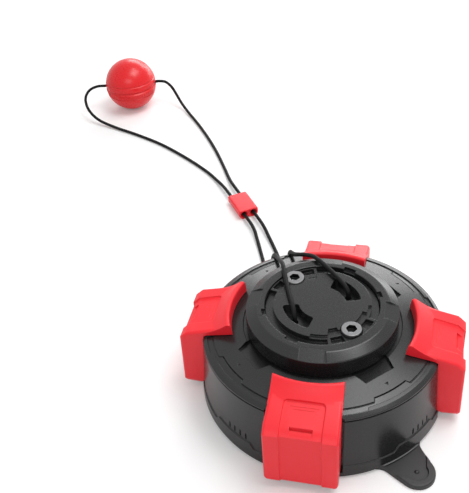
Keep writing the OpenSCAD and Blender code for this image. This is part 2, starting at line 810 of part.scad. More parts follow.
module tug_ball() {
    belt_r = 1.3;
    line_r = 0.7;
    line_z = 0.26 * ball_r;
    color("#d8151d") translate([ball_at.x, ball_at.y, ball_r]) rotate([0, 0, ball_turn]) difference() {
        sphere(ball_r);
        rotate([0, 90, 0]) cylinder(r = ball_bore_r, h = 3 * ball_r, center = true);
        rotate_extrude() translate([ball_r, 0]) circle(belt_r);
        for (s = [-1, 1]) rotate_extrude()
            translate([sqrt(pow(ball_r, 2) - pow(line_z, 2)), s * line_z]) circle(line_r);
    }
}

suction_pad();
pad_stud();
stud_washer();
stud_nut();
drum();
top_cover();
cover_screws();
swivel_washer();
hub_collar();
hub_cap();
cap_screws();
hub_retainer();
cord_knots();
rotate(front) lever();  // lever_front
rotate(right) lever();  // lever_right
rotate(back) lever();  // lever_back
rotate(left) lever();  // lever_left
rotate(front) lever_pin();  // pin_front
rotate(right) lever_pin();  // pin_right
rotate(back) lever_pin();  // pin_back
rotate(left) lever_pin();  // pin_left
rotate(front) pressure_foot();  // foot_front
rotate(right) pressure_foot();  // foot_right
rotate(back) pressure_foot();  // foot_back
rotate(left) pressure_foot();  // foot_left
cord_left();
cord_right();
cord_slider();
tug_ball();
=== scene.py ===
# %% [markdown]
# A suction cup tug toy for dogs: a black drum that grips the floor, four red locking levers, a hub
# that swivels, and an elastic cord that runs through a slider to a rubber ball.
# This lesson dresses the measured model. Its bodies and joints belong to that model, and every piece
# made here but the two strands rides on one of those bodies, so the levers still open and the hub
# still turns.

# %% Load the measured model
import math
from contextlib import contextmanager

import bpy
from mathutils import Matrix, Quaternion, Vector


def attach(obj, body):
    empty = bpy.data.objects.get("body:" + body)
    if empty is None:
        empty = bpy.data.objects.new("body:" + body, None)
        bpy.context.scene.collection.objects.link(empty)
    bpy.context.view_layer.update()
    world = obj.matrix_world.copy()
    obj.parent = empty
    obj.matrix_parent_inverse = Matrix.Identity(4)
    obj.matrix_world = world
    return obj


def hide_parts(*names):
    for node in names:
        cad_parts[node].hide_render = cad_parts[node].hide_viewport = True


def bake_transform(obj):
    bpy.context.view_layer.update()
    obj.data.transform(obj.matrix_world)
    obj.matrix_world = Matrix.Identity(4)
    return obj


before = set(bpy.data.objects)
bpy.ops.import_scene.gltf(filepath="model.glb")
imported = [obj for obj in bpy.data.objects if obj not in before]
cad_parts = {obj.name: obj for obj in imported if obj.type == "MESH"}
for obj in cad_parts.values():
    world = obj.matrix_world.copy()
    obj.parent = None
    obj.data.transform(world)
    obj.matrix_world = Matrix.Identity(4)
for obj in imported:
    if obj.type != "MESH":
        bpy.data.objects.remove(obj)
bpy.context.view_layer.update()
MM = 0.001

# %% [markdown]
# The rim of the drum is a circle on a level plane, so its ellipse in the picture gives the viewing
# direction. The aim point and the roll put the hub low and to the right, where the picture has it.

# %% Camera at the picture's viewing angle
PHOTO_H = 493
FOCAL_PX = 800
camera_at = Vector((54.25, -382.58, 428.58)) * MM
camera_aim = Vector((-81.33, 88.89, 40)) * MM
camera_roll = math.radians(-4.945)


def add_object(name, data):
    """A new object in the scene."""
    made = bpy.data.objects.new(name, data)
    bpy.context.scene.collection.objects.link(made)
    return made


camera_data = bpy.data.cameras.new("camera")
camera_data.sensor_fit = "VERTICAL"
camera_data.sensor_height = 36
camera_data.lens = FOCAL_PX / PHOTO_H * camera_data.sensor_height
camera_data.clip_start = 0.01
camera = add_object("camera", camera_data)
camera.location = camera_at
looking = (camera_aim - camera_at).to_track_quat("-Z", "Y") @ Quaternion((0, 0, 1), camera_roll)
camera.rotation_euler = looking.to_euler()
bpy.context.scene.camera = camera
print("lens:", round(camera_data.lens, 2), "mm")

# %% [markdown]
# The cord is one elastic line whose two strands are knotted in the hub. With nothing pulling, each
# strand lies over the hub and the rim, drops to the floor, runs through the slider and enters the
# ball. Each strand is a mesh tube rather than a curve with a round bevel: rings of points along a
# smooth path. Its UV map counts turns of the braid along the cord and round it.

# %% Cord routes, in millimetres
CORD_D = 3
LEFT_ROUTE = [
    (-15.6, -14.1, 62), (-15.6, -14.1, 68), (-16, -13.2, 71.5), (-17, -10.4, 74.2), (-18.8, -5.5, 75.2),
    (-22, 3, 75.2), (-25.5, 13, 75.2), (-29, 24, 75.1), (-32, 33.5, 73.8), (-34.5, 41, 69.6),
    (-37, 48, 65), (-40, 56, 59.8), (-43.5, 65, 54.7), (-45.9, 71, 50), (-47.8, 75.3, 44.2),
    (-49.3, 78.6, 36), (-50.4, 80.8, 26), (-51.7, 83.6, 15.2), (-54.2, 89.5, 6.5), (-58, 98.5, 2.6),
    (-63, 111, 1.7), (-70, 129, 1.7), (-77, 146.5, 2.6), (-84.8, 163, 4.5), (-103.2, 189.2, 4.5),
    (-121.6, 215.4, 4.5), (-134, 231.5, 2.4), (-150, 248, 1.7), (-176, 268.5, 1.7), (-208, 290, 1.7),
    (-240, 306, 1.7), (-268, 317, 2.4), (-290, 325.5, 5.5), (-304, 334.5, 12), (-310.5, 345, 19.5),
    (-308.5, 354, 25), (-301, 359.5, 27.5), (-291, 362.6, 27.5), (-278, 366.3, 27.5), (-264.8, 370.1, 27.5)]
RIGHT_ROUTE = [
    (15.6, 14.1, 62), (15.6, 14.1, 68), (15, 14.8, 71.5), (12.8, 17.2, 74.2), (9, 21.6, 75.2),
    (4.4, 27, 75.2), (-1, 33, 75.2), (-7, 39.3, 75), (-12.5, 45, 73.8), (-18.2, 50.2, 70.3),
    (-24.2, 55.3, 65.8), (-28.2, 61, 61), (-31.4, 66.8, 57), (-33.8, 72.4, 53.4), (-35.5, 77, 47.6),
    (-36.6, 80.2, 38), (-37.4, 82.6, 26), (-38.5, 85.4, 15), (-40.6, 91.2, 6.5), (-43.8, 100.5, 2.6),
    (-48.6, 113, 1.7), (-57.6, 132.4, 1.7), (-67.6, 151.4, 2.6), (-77.4, 168.1, 4.5), (-95.8, 194.3, 4.5),
    (-114.2, 220.5, 4.5), (-123, 236, 2.4), (-133, 256, 1.7), (-148, 284, 1.7), (-165, 312, 1.7),
    (-182, 337, 1.7), (-197, 356.5, 2.6), (-208, 369, 6.5), (-215.5, 376.5, 13), (-221.5, 380.5, 20),
    (-228, 381.2, 25.5), (-234.5, 379, 27.5), (-239, 377.5, 27.5), (-252, 373.8, 27.5),
    (-264.8, 370.1, 27.5)]


def smooth_path(route, steps=6):
    """Points in metres on a smooth curve through the route's points."""
    points = [Vector(p) * MM for p in route]
    points = [2 * points[0] - points[1], *points, 2 * points[-1] - points[-2]]
    path = []
    for a, b, c, d in zip(points, points[1:], points[2:], points[3:]):
        for k in range(steps):
            t = k / steps
            path.append(0.5 * (2 * b + (c - a) * t + (2 * a - 5 * b + 4 * c - d) * t ** 2
                               + (3 * b - a - 3 * c + d) * t ** 3))
    path.append(points[-2])
    return path


def path_length(path):
    return sum((q - p).length for p, q in zip(path, path[1:]))


print("route points:", len(LEFT_ROUTE), "and", len(RIGHT_ROUTE))

# %% Cord tubes
CORD_SIDES = 12


def cord_tube(name, path, radius):
    """A round tube along a path, closed at both ends, with a UV map in turns of its own girth."""
    rings = []
    across = Vector((1, 0, 0))
    for i, point in enumerate(path):
        along = (path[min(i + 1, len(path) - 1)] - path[max(i - 1, 0)]).normalized()
        across = (across - across.dot(along) * along).normalized()
        side = along.cross(across)
        rings.append([point + radius * (math.cos(a) * across + math.sin(a) * side)
                      for a in (math.tau * k / CORD_SIDES for k in range(CORD_SIDES))])
    points = [p for ring in rings for p in ring]
    faces = [(i * CORD_SIDES + k, i * CORD_SIDES + (k + 1) % CORD_SIDES,
              (i + 1) * CORD_SIDES + (k + 1) % CORD_SIDES, (i + 1) * CORD_SIDES + k)
             for i in range(len(rings) - 1) for k in range(CORD_SIDES)]
    last = (len(rings) - 1) * CORD_SIDES
    faces += [tuple(reversed(range(CORD_SIDES))), tuple(last + k for k in range(CORD_SIDES))]
    mesh = bpy.data.meshes.new(name)
    mesh.from_pydata(points, [], faces)
    girth = math.tau * radius
    lengths = [path_length(path[:i + 1]) / girth for i in range(len(path))]
    uv = mesh.uv_layers.new(name="braid")
    for face in mesh.polygons[:-2]:
        row, k = divmod(face.index, CORD_SIDES)
        turns = (lengths[row], lengths[row], lengths[row + 1], lengths[row + 1])
        rounds = (k, k + 1, k + 1, k)
        for loop, turn, step in zip(face.loop_indices, turns, rounds):
            uv.data[loop].uv = (turn, step / CORD_SIDES)
    mesh.shade_smooth()
    return add_object(name, mesh)


print("sides of a cord tube:", CORD_SIDES)

# %% Two strands
cords = {}
for name, route, leaves_hub, on_cover in (
        ("strand_left", LEFT_ROUTE, (-16, -13, 70), (-36, 45, 70)),
        ("strand_right", RIGHT_ROUTE, (15.5, 14.2, 70), (-22, 52, 70))):
    path = smooth_path(route)
    strand = cord_tube(name, path, CORD_D / 2 * MM)
    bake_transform(strand)
    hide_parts("cord_" + name.split("_")[1])
    cords[name] = strand
    print(name, "length", round(path_length(path), 3), "m")

# %% [markdown]
# Moulded plastic and rubber are never one flat colour. Three effects are shared by most finishes
# here, so they are one node group: a fine grain from the mould, a slow mottling of the tone, and a
# mask along the edges, where a lighter tone is a painted highlight. The mask compares the true normal
# with one that a Bevel node has rounded: the two part only near an edge, whatever the mesh is like.
# The rounded normal is handed on as well, so that cut edges catch the light as moulded ones do.

# %% Shared grain, mottle and edge mask


def new_nodes(tree, *kinds):
    return [tree.nodes.new("ShaderNode" + kind) for kind in kinds]


def put(node, **values):
    """Set a node's inputs. A low line stands for the blank in a socket's name."""
    for label, value in values.items():
        node.inputs[label.replace("_", " ")].default_value = value


def wire(tree, *links):
    """Make links. Each is a node and its output, then a node and its input."""
    for start, output, end, entry in links:
        tree.links.new(start.outputs[output], end.inputs[entry])


def moulding_group():
    group = bpy.data.node_groups.new("moulding", "ShaderNodeTree")
    for label, value in (("Grain Scale", 2600), ("Mottle Scale", 55)):
        socket = group.interface.new_socket(label, in_out="INPUT", socket_type="NodeSocketFloat")
        socket.default_value = value
    for label in ("Grain", "Mottle", "Edge"):
        group.interface.new_socket(label, in_out="OUTPUT", socket_type="NodeSocketFloat")
    group.interface.new_socket("Normal", in_out="OUTPUT", socket_type="NodeSocketVector")
    inputs, outputs = group.nodes.new("NodeGroupInput"), group.nodes.new("NodeGroupOutput")
    place, grain, mottle, shape, rounded, match, edge = new_nodes(
        group, "TexCoord", "TexNoise", "TexNoise", "NewGeometry", "Bevel", "VectorMath", "MapRange")
    put(grain, Detail=3)
    put(mottle, Detail=5)
    rounded.samples = 6
    put(rounded, Radius=0.45 * MM)
    match.operation = "DOT_PRODUCT"
    # This mask marks the edges where the finishes paint a highlight.
    put(edge, From_Min=0.995, From_Max=0.85)
    wire(group, (place, "Object", grain, "Vector"), (place, "Object", mottle, "Vector"),
         (inputs, "Grain Scale", grain, "Scale"), (inputs, "Mottle Scale", mottle, "Scale"),
         (shape, "Normal", match, 0), (rounded, "Normal", match, 1), (match, "Value", edge, "Value"),
         (grain, "Fac", outputs, "Grain"), (mottle, "Fac", outputs, "Mottle"),
         (edge, "Result", outputs, "Edge"), (rounded, "Normal", outputs, "Normal"))
    return group


moulding = moulding_group()
print("group:", moulding.name)

# %% [markdown]
# Each finish starts the same way: the group's mottle mixes two close tones, its edge mask lightens
# them as a painted highlight, and its grain drives both the roughness and a small bump. What differs
# is in the numbers.

# %% One recipe for the moulded finishes
finishes = {}


def new_finish(name):
    """A new material among the finishes: its node tree and its shader."""
    material = finishes[name] = bpy.data.materials.new(name)
    material.use_nodes = True
    return material.node_tree, material.node_tree.nodes["Principled BSDF"]


def moulded_finish(name, dark, light, edge, rough, grain_scale, bump, mottle_scale=55, **shading):
    """A finish whose tone, roughness and bump come from the shared group."""
    tree, shader = new_finish(name)
    skin, tone, edge_highlight, gloss, relief = new_nodes(tree, "Group", "Mix", "Mix", "MapRange", "Bump")
    skin.node_tree = moulding
    put(skin, Grain_Scale=grain_scale, Mottle_Scale=mottle_scale)
    tone.data_type = edge_highlight.data_type = "RGBA"
    put(tone, A=(*dark, 1), B=(*light, 1))
    # The lighter edge colour is a painted highlight along the edges.
    put(edge_highlight, B=(*edge, 1))
    put(gloss, From_Min=0.3, From_Max=0.7, To_Min=rough[0], To_Max=rough[1])
    put(relief, Strength=bump, Distance=0.05 * MM)
    wire(tree, (skin, "Mottle", tone, "Factor"), (skin, "Edge", edge_highlight, "Factor"),
         (tone, "Result", edge_highlight, "A"), (edge_highlight, "Result", shader, "Base Color"),
         (skin, "Grain", gloss, "Value"), (gloss, "Result", shader, "Roughness"),
         (skin, "Grain", relief, "Height"), (skin, "Normal", relief, "Normal"),
         (relief, "Normal", shader, "Normal"))
    put(shader, **shading)


print("recipe reads:", [socket.name for socket in moulding.interface.items_tree])

# %% Finishes of plastic, rubber and steel
moulded_finish("black_plastic", (0.009, 0.0092, 0.0098), (0.013, 0.0132, 0.014), (0.03, 0.031, 0.033),
               (0.2, 0.3), 2600, 0.15, Specular_IOR_Level=0.42)
moulded_finish("red_plastic", (0.8, 0.014, 0.024), (0.88, 0.019, 0.032), (0.95, 0.06, 0.07),
               (0.34, 0.46), 2200, 0.12, Specular_IOR_Level=0.38)
moulded_finish("white_plastic", (0.72, 0.72, 0.7), (0.8, 0.8, 0.78), (0.85, 0.85, 0.84),
               (0.3, 0.4), 2600, 0.15)
moulded_finish("pad_rubber", (0.014, 0.014, 0.0145), (0.02, 0.02, 0.0205), (0.05, 0.05, 0.052),
               (0.4, 0.54), 1800, 0.3)
# A lighter grey rubber for the tab's bead, partly its own tone and partly a painted highlight line.
moulded_finish("bead_rubber_and_highlight", (0.07, 0.07, 0.072), (0.1, 0.1, 0.102), (0.14, 0.14, 0.142),
               (0.22, 0.34), 1800, 0.1)
moulded_finish("ball_rubber", (0.66, 0.006, 0.01), (0.76, 0.009, 0.014), (0.85, 0.04, 0.04),
               (0.24, 0.36), 900, 0.1, mottle_scale=30, Specular_IOR_Level=0.35, Coat_Weight=0.12,
               Coat_Roughness=0.2)
moulded_finish("steel", (0.15, 0.15, 0.154), (0.2, 0.2, 0.204), (0.4, 0.4, 0.4),
               (0.36, 0.5), 1500, 0.2, Metallic=1)
# A darker steel that paints the shade inside the screw sockets.
moulded_finish("socket_shade_steel", (0.02, 0.02, 0.021), (0.03, 0.03, 0.031), (0.1, 0.1, 0.1),
               (0.5, 0.65), 1500, 0.2, Metallic=1)
print("finishes:", list(finishes))

# %% [markdown]
# The cord's sheath is braided: strands wind round it both ways and pass over each other. On the
# tube's UV map these are two sets of slanting waves, and whichever stands higher is on top.

# %% Braided sheath
BRAID_STRANDS = 6


def braid_finish(name):
    tree, shader = new_finish(name)
    place, split, upper, lift, tone, relief = new_nodes(
        tree, "UVMap", "SeparateXYZ", "Math", "MapRange", "Mix", "Bump")
    place.uv_map = "braid"
    upper.operation = "MAXIMUM"
    tone.data_type = "RGBA"
    wire(tree, (place, "UV", split, "Vector"))
    for entry, way in enumerate((1, -1)):
        slant, turn, wave = new_nodes(tree, "Math", "Math", "Math")
        slant.operation, turn.operation, wave.operation = "MULTIPLY_ADD", "MULTIPLY", "SINE"
        slant.inputs[1].default_value = way
        turn.inputs[1].default_value = math.tau * BRAID_STRANDS
        wire(tree, (split, "X", slant, 0), (split, "Y", slant, 2), (slant, 0, turn, 0),
             (turn, 0, wave, 0), (wave, 0, upper, entry))
    put(lift, From_Min=-1)
    # Where the strands dip the tone is darker: painted shade between them.
    put(tone, A=(0.002, 0.002, 0.0022, 1), B=(0.008, 0.008, 0.0085, 1))
    put(relief, Strength=0.6, Distance=0.1 * MM)
    put(shader, Roughness=0.6, Specular_IOR_Level=0.15)
    wire(tree, (upper, 0, lift, "Value"), (lift, "Result", tone, "Factor"),
         (lift, "Result", relief, "Height"), (tone, "Result", shader, "Base Color"),
         (relief, "Normal", shader, "Normal"))


braid_finish("braided_cord")
for strand in cords.values():
    strand.data.materials.append(finishes["braided_cord"])
print("braid strands:", BRAID_STRANDS)

# %% [markdown]
# Most of the toy is moulded, so its pieces are made with a few workshop moves. A turned piece is an
# outline of corners, softened and spun. A slab is an outline extruded sideways, and a plate one that
# is extruded upwards. Slabs and plates also serve as cutters, and a bevel finishes.

# %% Selecting and editing
MERGE = 0.002


def pick(piece):
    """Select one piece alone and make it active."""
    bpy.ops.object.select_all(action="DESELECT")
    piece.select_set(True)
    bpy.context.view_layer.objects.active = piece


@contextmanager
def editing(piece):
    """Edit mode on one piece, with all of it selected."""
    pick(piece)
    bpy.ops.object.mode_set(mode="EDIT")
    bpy.ops.mesh.select_all(action="SELECT")
    yield
    bpy.ops.object.mode_set(mode="OBJECT")


def new_piece(name, points, edges=(), faces=()):
    """A mesh object from points in millimetres."""
    mesh = bpy.data.meshes.new(name)
    mesh.from_pydata([Vector(p) * MM for p in points], edges, faces)
    return add_object(name, mesh)


def clean():
    """Merge doubles and turn the faces outwards, in edit mode."""
    bpy.ops.mesh.select_all(action="SELECT")
    bpy.ops.mesh.remove_doubles(threshold=MERGE * MM)
    bpy.ops.mesh.normals_make_consistent(inside=False)


print("doubles merge within", MERGE, "mm")

# %% Moves that make a blank


def turned(name, outline, rounding=0, closed=False, steps=240):
    """An outline of (radius, height) corners, softened and spun about Z."""
    last = len(outline) - 1
    ends = [(i, i + 1) for i in range(last)] + ([(last, 0)] if closed else [])
    piece = new_piece(name, [(r, 0, z) for r, z in outline], ends)
    with editing(piece):
        if rounding:
            bpy.ops.mesh.bevel(offset=rounding * MM, segments=3, affect="VERTICES", clamp_overlap=True)
            bpy.ops.mesh.select_all(action="SELECT")
        bpy.ops.mesh.spin(steps=steps, angle=math.tau, center=(0, 0, 0), axis=(0, 0, 1))
        clean()
    return piece


def extruded(name, points, along):
    """A flat outline of points, extruded by a step in millimetres."""
    piece = new_piece(name, points, faces=[range(len(points))])
    with editing(piece):
        bpy.ops.mesh.extrude_region_move(TRANSFORM_OT_translate={"value": tuple(MM * v for v in along)})
        clean()
    return piece


def slab(name, outline, half, middle=0):
    """An outline of (x, z) corners, extruded along Y to both sides of the middle."""
    return extruded(name, [(x, middle - half, z) for x, z in outline], (0, 2 * half, 0))


def box(name, x, z, half):
    """A slab with a square section, from its ends in x and z."""
    return slab(name, [(x[0], z[0]), (x[1], z[0]), (x[1], z[1]), (x[0], z[1])], half)


def plate(name, outline, z_low, z_high):
    """An outline of (x, y) corners, extruded upwards."""
    return extruded(name, [(x, y, z_low) for x, y in outline], (0, 0, z_high - z_low))


print("blanks: turned, slab, box, plate")

# %% Arcs, posts and places


def around(radius, degrees):
    return radius * math.cos(math.radians(degrees)), radius * math.sin(math.radians(degrees))


def arc(radius, start, end, steps=24, centre=(0, 0)):
    """Points of an arc, its angles in degrees."""
    points = (around(radius, start + (end - start) * k / steps) for k in range(steps + 1))
    return [(centre[0] + x, centre[1] + y) for x, y in points]


def ring_sector(name, r_in, r_out, middle, half, z_low, z_high):
    """A piece of a flat ring, its angles in degrees."""
    steps, start, end = max(4, int(half)), middle - half, middle + half
    return plate(name, arc(r_out, start, end, steps) + arc(r_in, end, start, steps), z_low, z_high)


def post(name, radius, z_low, z_high, x=0, y=0, sides=48):
    """A round or many-sided post, also used as a drill."""
    return plate(name, arc(radius, 0, 360 - 360 / sides, sides - 1, (x, y)), z_low, z_high)


def moved(piece, at, degrees=0, axis="Z"):
    """Turn a piece about an axis and then move it, in millimetres."""
    turn = Matrix.Rotation(math.radians(degrees), 4, axis)
    piece.data.transform(Matrix.Translation(Vector(at) * MM) @ turn)
    return piece


def turn_z(piece, degrees):
    return moved(piece, (0, 0, 0), degrees)


print("round blanks: ring_sector, post")

# %% [markdown]
# Blanks are then joined, cut and softened. Only chosen edges are rounded by hand: the choice is a
# test on the two ends of an edge. Weighted normals at the end keep the flat faces flat, because the
# cuts leave large many-sided faces that plain smoothing would shade in fans.

# %% Joining and cutting
SIDES = {"front": -90, "right": 0, "back": 90, "left": 180}


def joined(name, pieces):
    """Several pieces in one mesh, for cutters that act at once."""
    pick(pieces[0])
    for other in pieces[1:]:
        other.select_set(True)
    bpy.ops.object.join()
    pieces[0].name = name
    return pieces[0]


def on_sides(name, make):
    """One mesh of a piece that is made at angle 0 and repeats on each side."""
    return joined(name, [turn_z(make(), degrees) for degrees in SIDES.values()])


def modify(piece, kind, **settings):
    """Give a piece a modifier and apply it."""
    pick(piece)
    modifier = piece.modifiers.new("move", kind)
    for setting, value in settings.items():
        setattr(modifier, setting, value)
    bpy.ops.object.modifier_apply(modifier=modifier.name)
    return piece


def combine(piece, tool, operation="DIFFERENCE", overlaps=False):
    """Cut a piece with a tool, or add the tool to it, and throw the tool away."""
    modify(piece, "BOOLEAN", object=tool, operation=operation, solver="EXACT", use_self=overlaps)
    bpy.data.objects.remove(tool)
    return piece


def cut_off(point, direction):
    """Cut away what lies beyond a plane and close the cut, in edit mode."""
    bpy.ops.mesh.select_all(action="SELECT")
    bpy.ops.mesh.bisect(plane_co=tuple(MM * v for v in point), plane_no=direction, use_fill=True,
                        clear_outer=True)


print("sides:", SIDES)

# %% Rounding and finishing
SMOOTH_ANGLE, SOFTEN_ANGLE, FLAT_ANGLE = math.radians(30), math.radians(35), math.radians(0.2)


def round_edges(piece, chosen, width, segments=4):
    """Round the edges for whose two ends, in millimetres, the test holds."""
    with editing(piece):
        bpy.ops.mesh.select_mode(type="EDGE")
        bpy.ops.mesh.select_all(action="DESELECT")
    points = [v.co / MM for v in piece.data.vertices]
    for edge in piece.data.edges:
        edge.select = chosen(*(points[i] for i in edge.vertices))
    bpy.ops.object.mode_set(mode="EDIT")
    bpy.ops.mesh.bevel(offset=width * MM, segments=segments, affect="EDGES", clamp_overlap=True)
    bpy.ops.mesh.select_mode(type="VERT")
    clean()
    bpy.ops.object.mode_set(mode="OBJECT")
    return piece


def smooth(piece):
    with editing(piece):
        clean()
    bpy.ops.object.shade_smooth_by_angle(angle=SMOOTH_ANGLE)
    return modify(piece, "WEIGHTED_NORMAL", keep_sharp=True)


def soften(piece, width):
    """Round all the sharp edges a little and smooth the rest."""
    with editing(piece):
        clean()
        bpy.ops.mesh.select_all(action="SELECT")
        bpy.ops.mesh.dissolve_limited(angle_limit=FLAT_ANGLE)
    modify(piece, "BEVEL", width=width * MM, segments=3, limit_method="ANGLE", angle_limit=SOFTEN_ANGLE,
           use_clamp_overlap=False)
    return smooth(piece)


def dress(piece, finish):
    piece.data.materials.clear()
    piece.data.materials.append(finishes[finish])


def finish_piece(piece, finish, body, *nodes):
    """Give a piece its finish and its body, and hide the nodes that it stands for."""
    dress(piece, finish)
    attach(piece, body)
    if nodes:
        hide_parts(*nodes)
    print(piece.name, len(piece.data.polygons), "faces")


print("finishing: round_edges, smooth, soften, finish_piece")

# %% [markdown]
# A lever is the loudest piece: a bent red shell over the rim, with a rounded ridge that follows the
# hub, a sunk panel down its middle, a notch at the fold and a skirt with clipped corners. Bending a
# sheet would give soft folds but not the thick ends, so its section is drawn from the side and
# extruded, its outer edges are rounded, and the ridge is a piece of a turned ring. Its underside
# follows the cover's cone, so the room that the cover takes is turned as well and cut out.

# %% Lever sizes, for the right-hand side
LEVER_HALF, LEVER_FLARE, LEVER_IN_R, LEVER_EDGE = 22, 1.2, 60, 2
LIP_X, LIP_Z, FOLD_X, FOLD_Z, KNEE_X, KNEE_Z = 55.82, 61.9, 88.2, 53.2, 93.2, 48.2
SKIRT_X, SKIRT_Z, CLIP_X, CLIP_Z = 94, 5.5, 92.5, 8.5
CHEEK_X, CHEEK_LOW_X, CHEEK_LOW_Z, CHEEK_FOOT_X, CHEEK_FOOT_Z = 76.3, 76.9, 9.1, 82.3, 4.2
PLATE_TOP_Z, WALL_TOP_Z, BAY_X, RIM_R, RIM_IN_R, RIM_Z = 18, 49, 75.6, 80, 77.3, 51.3
EDGE_R, EDGE_Z, WELL_R, WELL_EDGE_Z, CLEAR = 77.5, 52.8, 52.4, 57.2, 0.4


def lever_top(x):
    """Height of the lever's flat top at a distance from the axis."""
    return LIP_Z - (LIP_Z - FOLD_Z) * (x - LIP_X) / (FOLD_X - LIP_X)


def cone_height(r):
    """Height of the cover's cone at a radius."""
    return EDGE_Z + (WELL_EDGE_Z - EDGE_Z) * (EDGE_R - r) / (EDGE_R - WELL_R)


def lever_half(x):
    return LEVER_HALF + LEVER_FLARE * (x - LIP_X) / (SKIRT_X - LIP_X)


print("lever top at its inner end:", round(lever_top(LEVER_IN_R), 2), "mm")

# %% Lever shell
ROOM_IN_R, ROOM_R, ROOM_Z, ROUND_STEPS = 51, 89, 40, 5


def trim_sides(piece, inset=0):
    """Cut a piece along the lever's two sides, which flare a little."""
    flare = math.atan2(LEVER_FLARE, SKIRT_X - LIP_X)
    with editing(piece):
        for side in (1, -1):
            cut_off((LIP_X, side * (LEVER_HALF - inset), 0), (-math.sin(flare), side * math.cos(flare), 0))
        clean()
    return piece


def on_side(p):
    return abs(abs(p.y) - lever_half(p.x)) < 0.1


def cover_room():
    """The room that the cover takes under the lever, a little wider than the cover."""
    inner_z = cone_height(ROOM_IN_R) + CLEAR
    room = turned("room", [
        (0, ROOM_Z), (ROOM_R, ROOM_Z), (ROOM_R, RIM_Z + CLEAR), (RIM_R, RIM_Z + CLEAR),
        (RIM_IN_R, cone_height(RIM_IN_R) + CLEAR), (ROOM_IN_R, inner_z), (0, inner_z)], closed=True)
    with editing(room):
        cut_off((CHEEK_X, 0, 0), (1, 0, 0))
        clean()
    return room


def bent_shell():
    def outside(p):
        return on_side(p) and (p.z > lever_top(p.x) - 0.1 or p.x > FOLD_X - 0.1)

    def outer_edge(p, q):
        return outside(p) and outside(q) and abs(p.y - q.y) < LEVER_HALF

    start, under = LIP_X - 3, WALL_TOP_Z - 1
    shell = trim_sides(slab("lever", [
        (start, lever_top(start)), (FOLD_X, FOLD_Z), (KNEE_X, KNEE_Z), (SKIRT_X, CLIP_Z), (CLIP_X, SKIRT_Z),
        (CHEEK_FOOT_X, CHEEK_FOOT_Z), (CHEEK_LOW_X, CHEEK_LOW_Z), (CHEEK_LOW_X, PLATE_TOP_Z),
        (CHEEK_X, under), (start, under)], LEVER_HALF + 5))
    round_edges(shell, outer_edge, LEVER_EDGE, ROUND_STEPS)
    combine(shell, cover_room())
    return combine(shell, post("end", LEVER_IN_R + 2, 0, 90, sides=240))


lever = bent_shell()
print("lever shell:", len(lever.data.polygons), "faces")

# %% Lever ridge
RIDGE_FACE, RIDGE_CREST, RIDGE_CREST_R = 4.4, (62.7, 62.5), 1.9
SWEEP_FROM, SWEEP_TO, SWEEP_H, SWEEP_STEPS = 64.4, 78, 4.1, 8


def ridge_ring():
    low = cone_height(LEVER_IN_R) + CLEAR + 0.05
    sweep = []
    for k in range(SWEEP_STEPS + 1):
        r = SWEEP_FROM + (SWEEP_TO - SWEEP_FROM) * k / SWEEP_STEPS
        sweep.append((r, lever_top(r) + SWEEP_H * (1 - k / SWEEP_STEPS) ** 2 - 0.02))
    ring = turned("ridge", [
        (LEVER_IN_R, low), (LEVER_IN_R + 0.5, low + RIDGE_FACE),
        *arc(RIDGE_CREST_R, 165, 55, 8, RIDGE_CREST), *sweep, (SWEEP_TO, low - 1.6),
        (SWEEP_FROM + 3, low - 1)], closed=True)
    with editing(ring):
        cut_off((LIP_X * 0.8, 0, 0), (-1, 0, 0))
    trim_sides(ring, inset=0.01)

    def crest_edge(p, q):
        bottom = p.z < low + 0.02 and q.z < low + 0.02
        back = min(p.xy.length, q.xy.length) > SWEEP_TO - 0.2
        return on_side(p) and on_side(q) and not bottom and not back and abs(p.y - q.y) < LEVER_HALF

    return round_edges(ring, crest_edge, LEVER_EDGE, ROUND_STEPS)


combine(lever, ridge_ring(), "UNION")
print("lever with its ridge:", len(lever.data.polygons), "faces")

# %% [markdown]
# Under the top the lever is hollow. An arm reaches from its pin into the drum, where it presses the
# pad's lip down, and a web joins the arm to the skirt.

# %% Lever hollow, arm and web
PIN_X, PIN_Z, PIN_R, PIN_HALF, KNUCKLE_R = 86, 13, 2, 21.5, 4.2
CHEEK_IN, SHELL_T, PANEL_D = 19, 2.6, 1.3
ARM_HALF, ARM_TIP_X, ARM_Z, ARM_T, ARM_BEND_X = 6, 70.5, 7.1, 3.9, 76.2
HOLLOW_IN, HOLLOW_FOLD, HOLLOW_KNEE, HOLLOW_FALL, SLOPE = 4.5, 4.2, 3, 9, 1.04
LEVER_PLAY, WEB_X = 0.02, SKIRT_X - 2


def lever_hollow():
    inner, drop = LEVER_IN_R + HOLLOW_IN, SHELL_T * SLOPE
    fold, knee_x, knee_z = FOLD_X - HOLLOW_FOLD, KNEE_X - 2 * SHELL_T, KNEE_Z - HOLLOW_KNEE
    wall_x = SKIRT_X - SHELL_T - PANEL_D
    return slab("hollow", [
        (inner, lever_top(inner) - drop), (fold, lever_top(fold) - drop), (knee_x, knee_z),
        (wall_x, knee_z - HOLLOW_FALL), (wall_x, 0), (inner, 0)], CHEEK_IN)


def pin_hole(play, half):
    return slab("pin_hole", arc(PIN_R + play, 0, 345, 23, (PIN_X, PIN_Z)), half)


combine(lever, lever_hollow())
web = box("web", (PIN_X, WEB_X), (PIN_Z - KNUCKLE_R, PIN_Z + KNUCKLE_R), ARM_HALF - 0.01)
combine(lever, web, "UNION")
combine(lever, slab("arm", arc(KNUCKLE_R, -90, 90, 12, (PIN_X, PIN_Z)) + [
    (ARM_TIP_X, ARM_Z + ARM_T), (ARM_TIP_X, ARM_Z), (ARM_BEND_X, ARM_Z)], ARM_HALF), "UNION")
combine(lever, pin_hole(LEVER_PLAY, PIN_HALF + 0.1))
print("lever with its arm:", len(lever.data.polygons), "faces")

# %% [markdown]
# The panel's cutter has chamfered lower edges, so the panel gets the sloping walls that a mould
# needs. Two fine lines mark its inner end, the notch at the fold takes a fingernail and opens in a
# shadowed slit, and the skirt's lower corners are clipped.

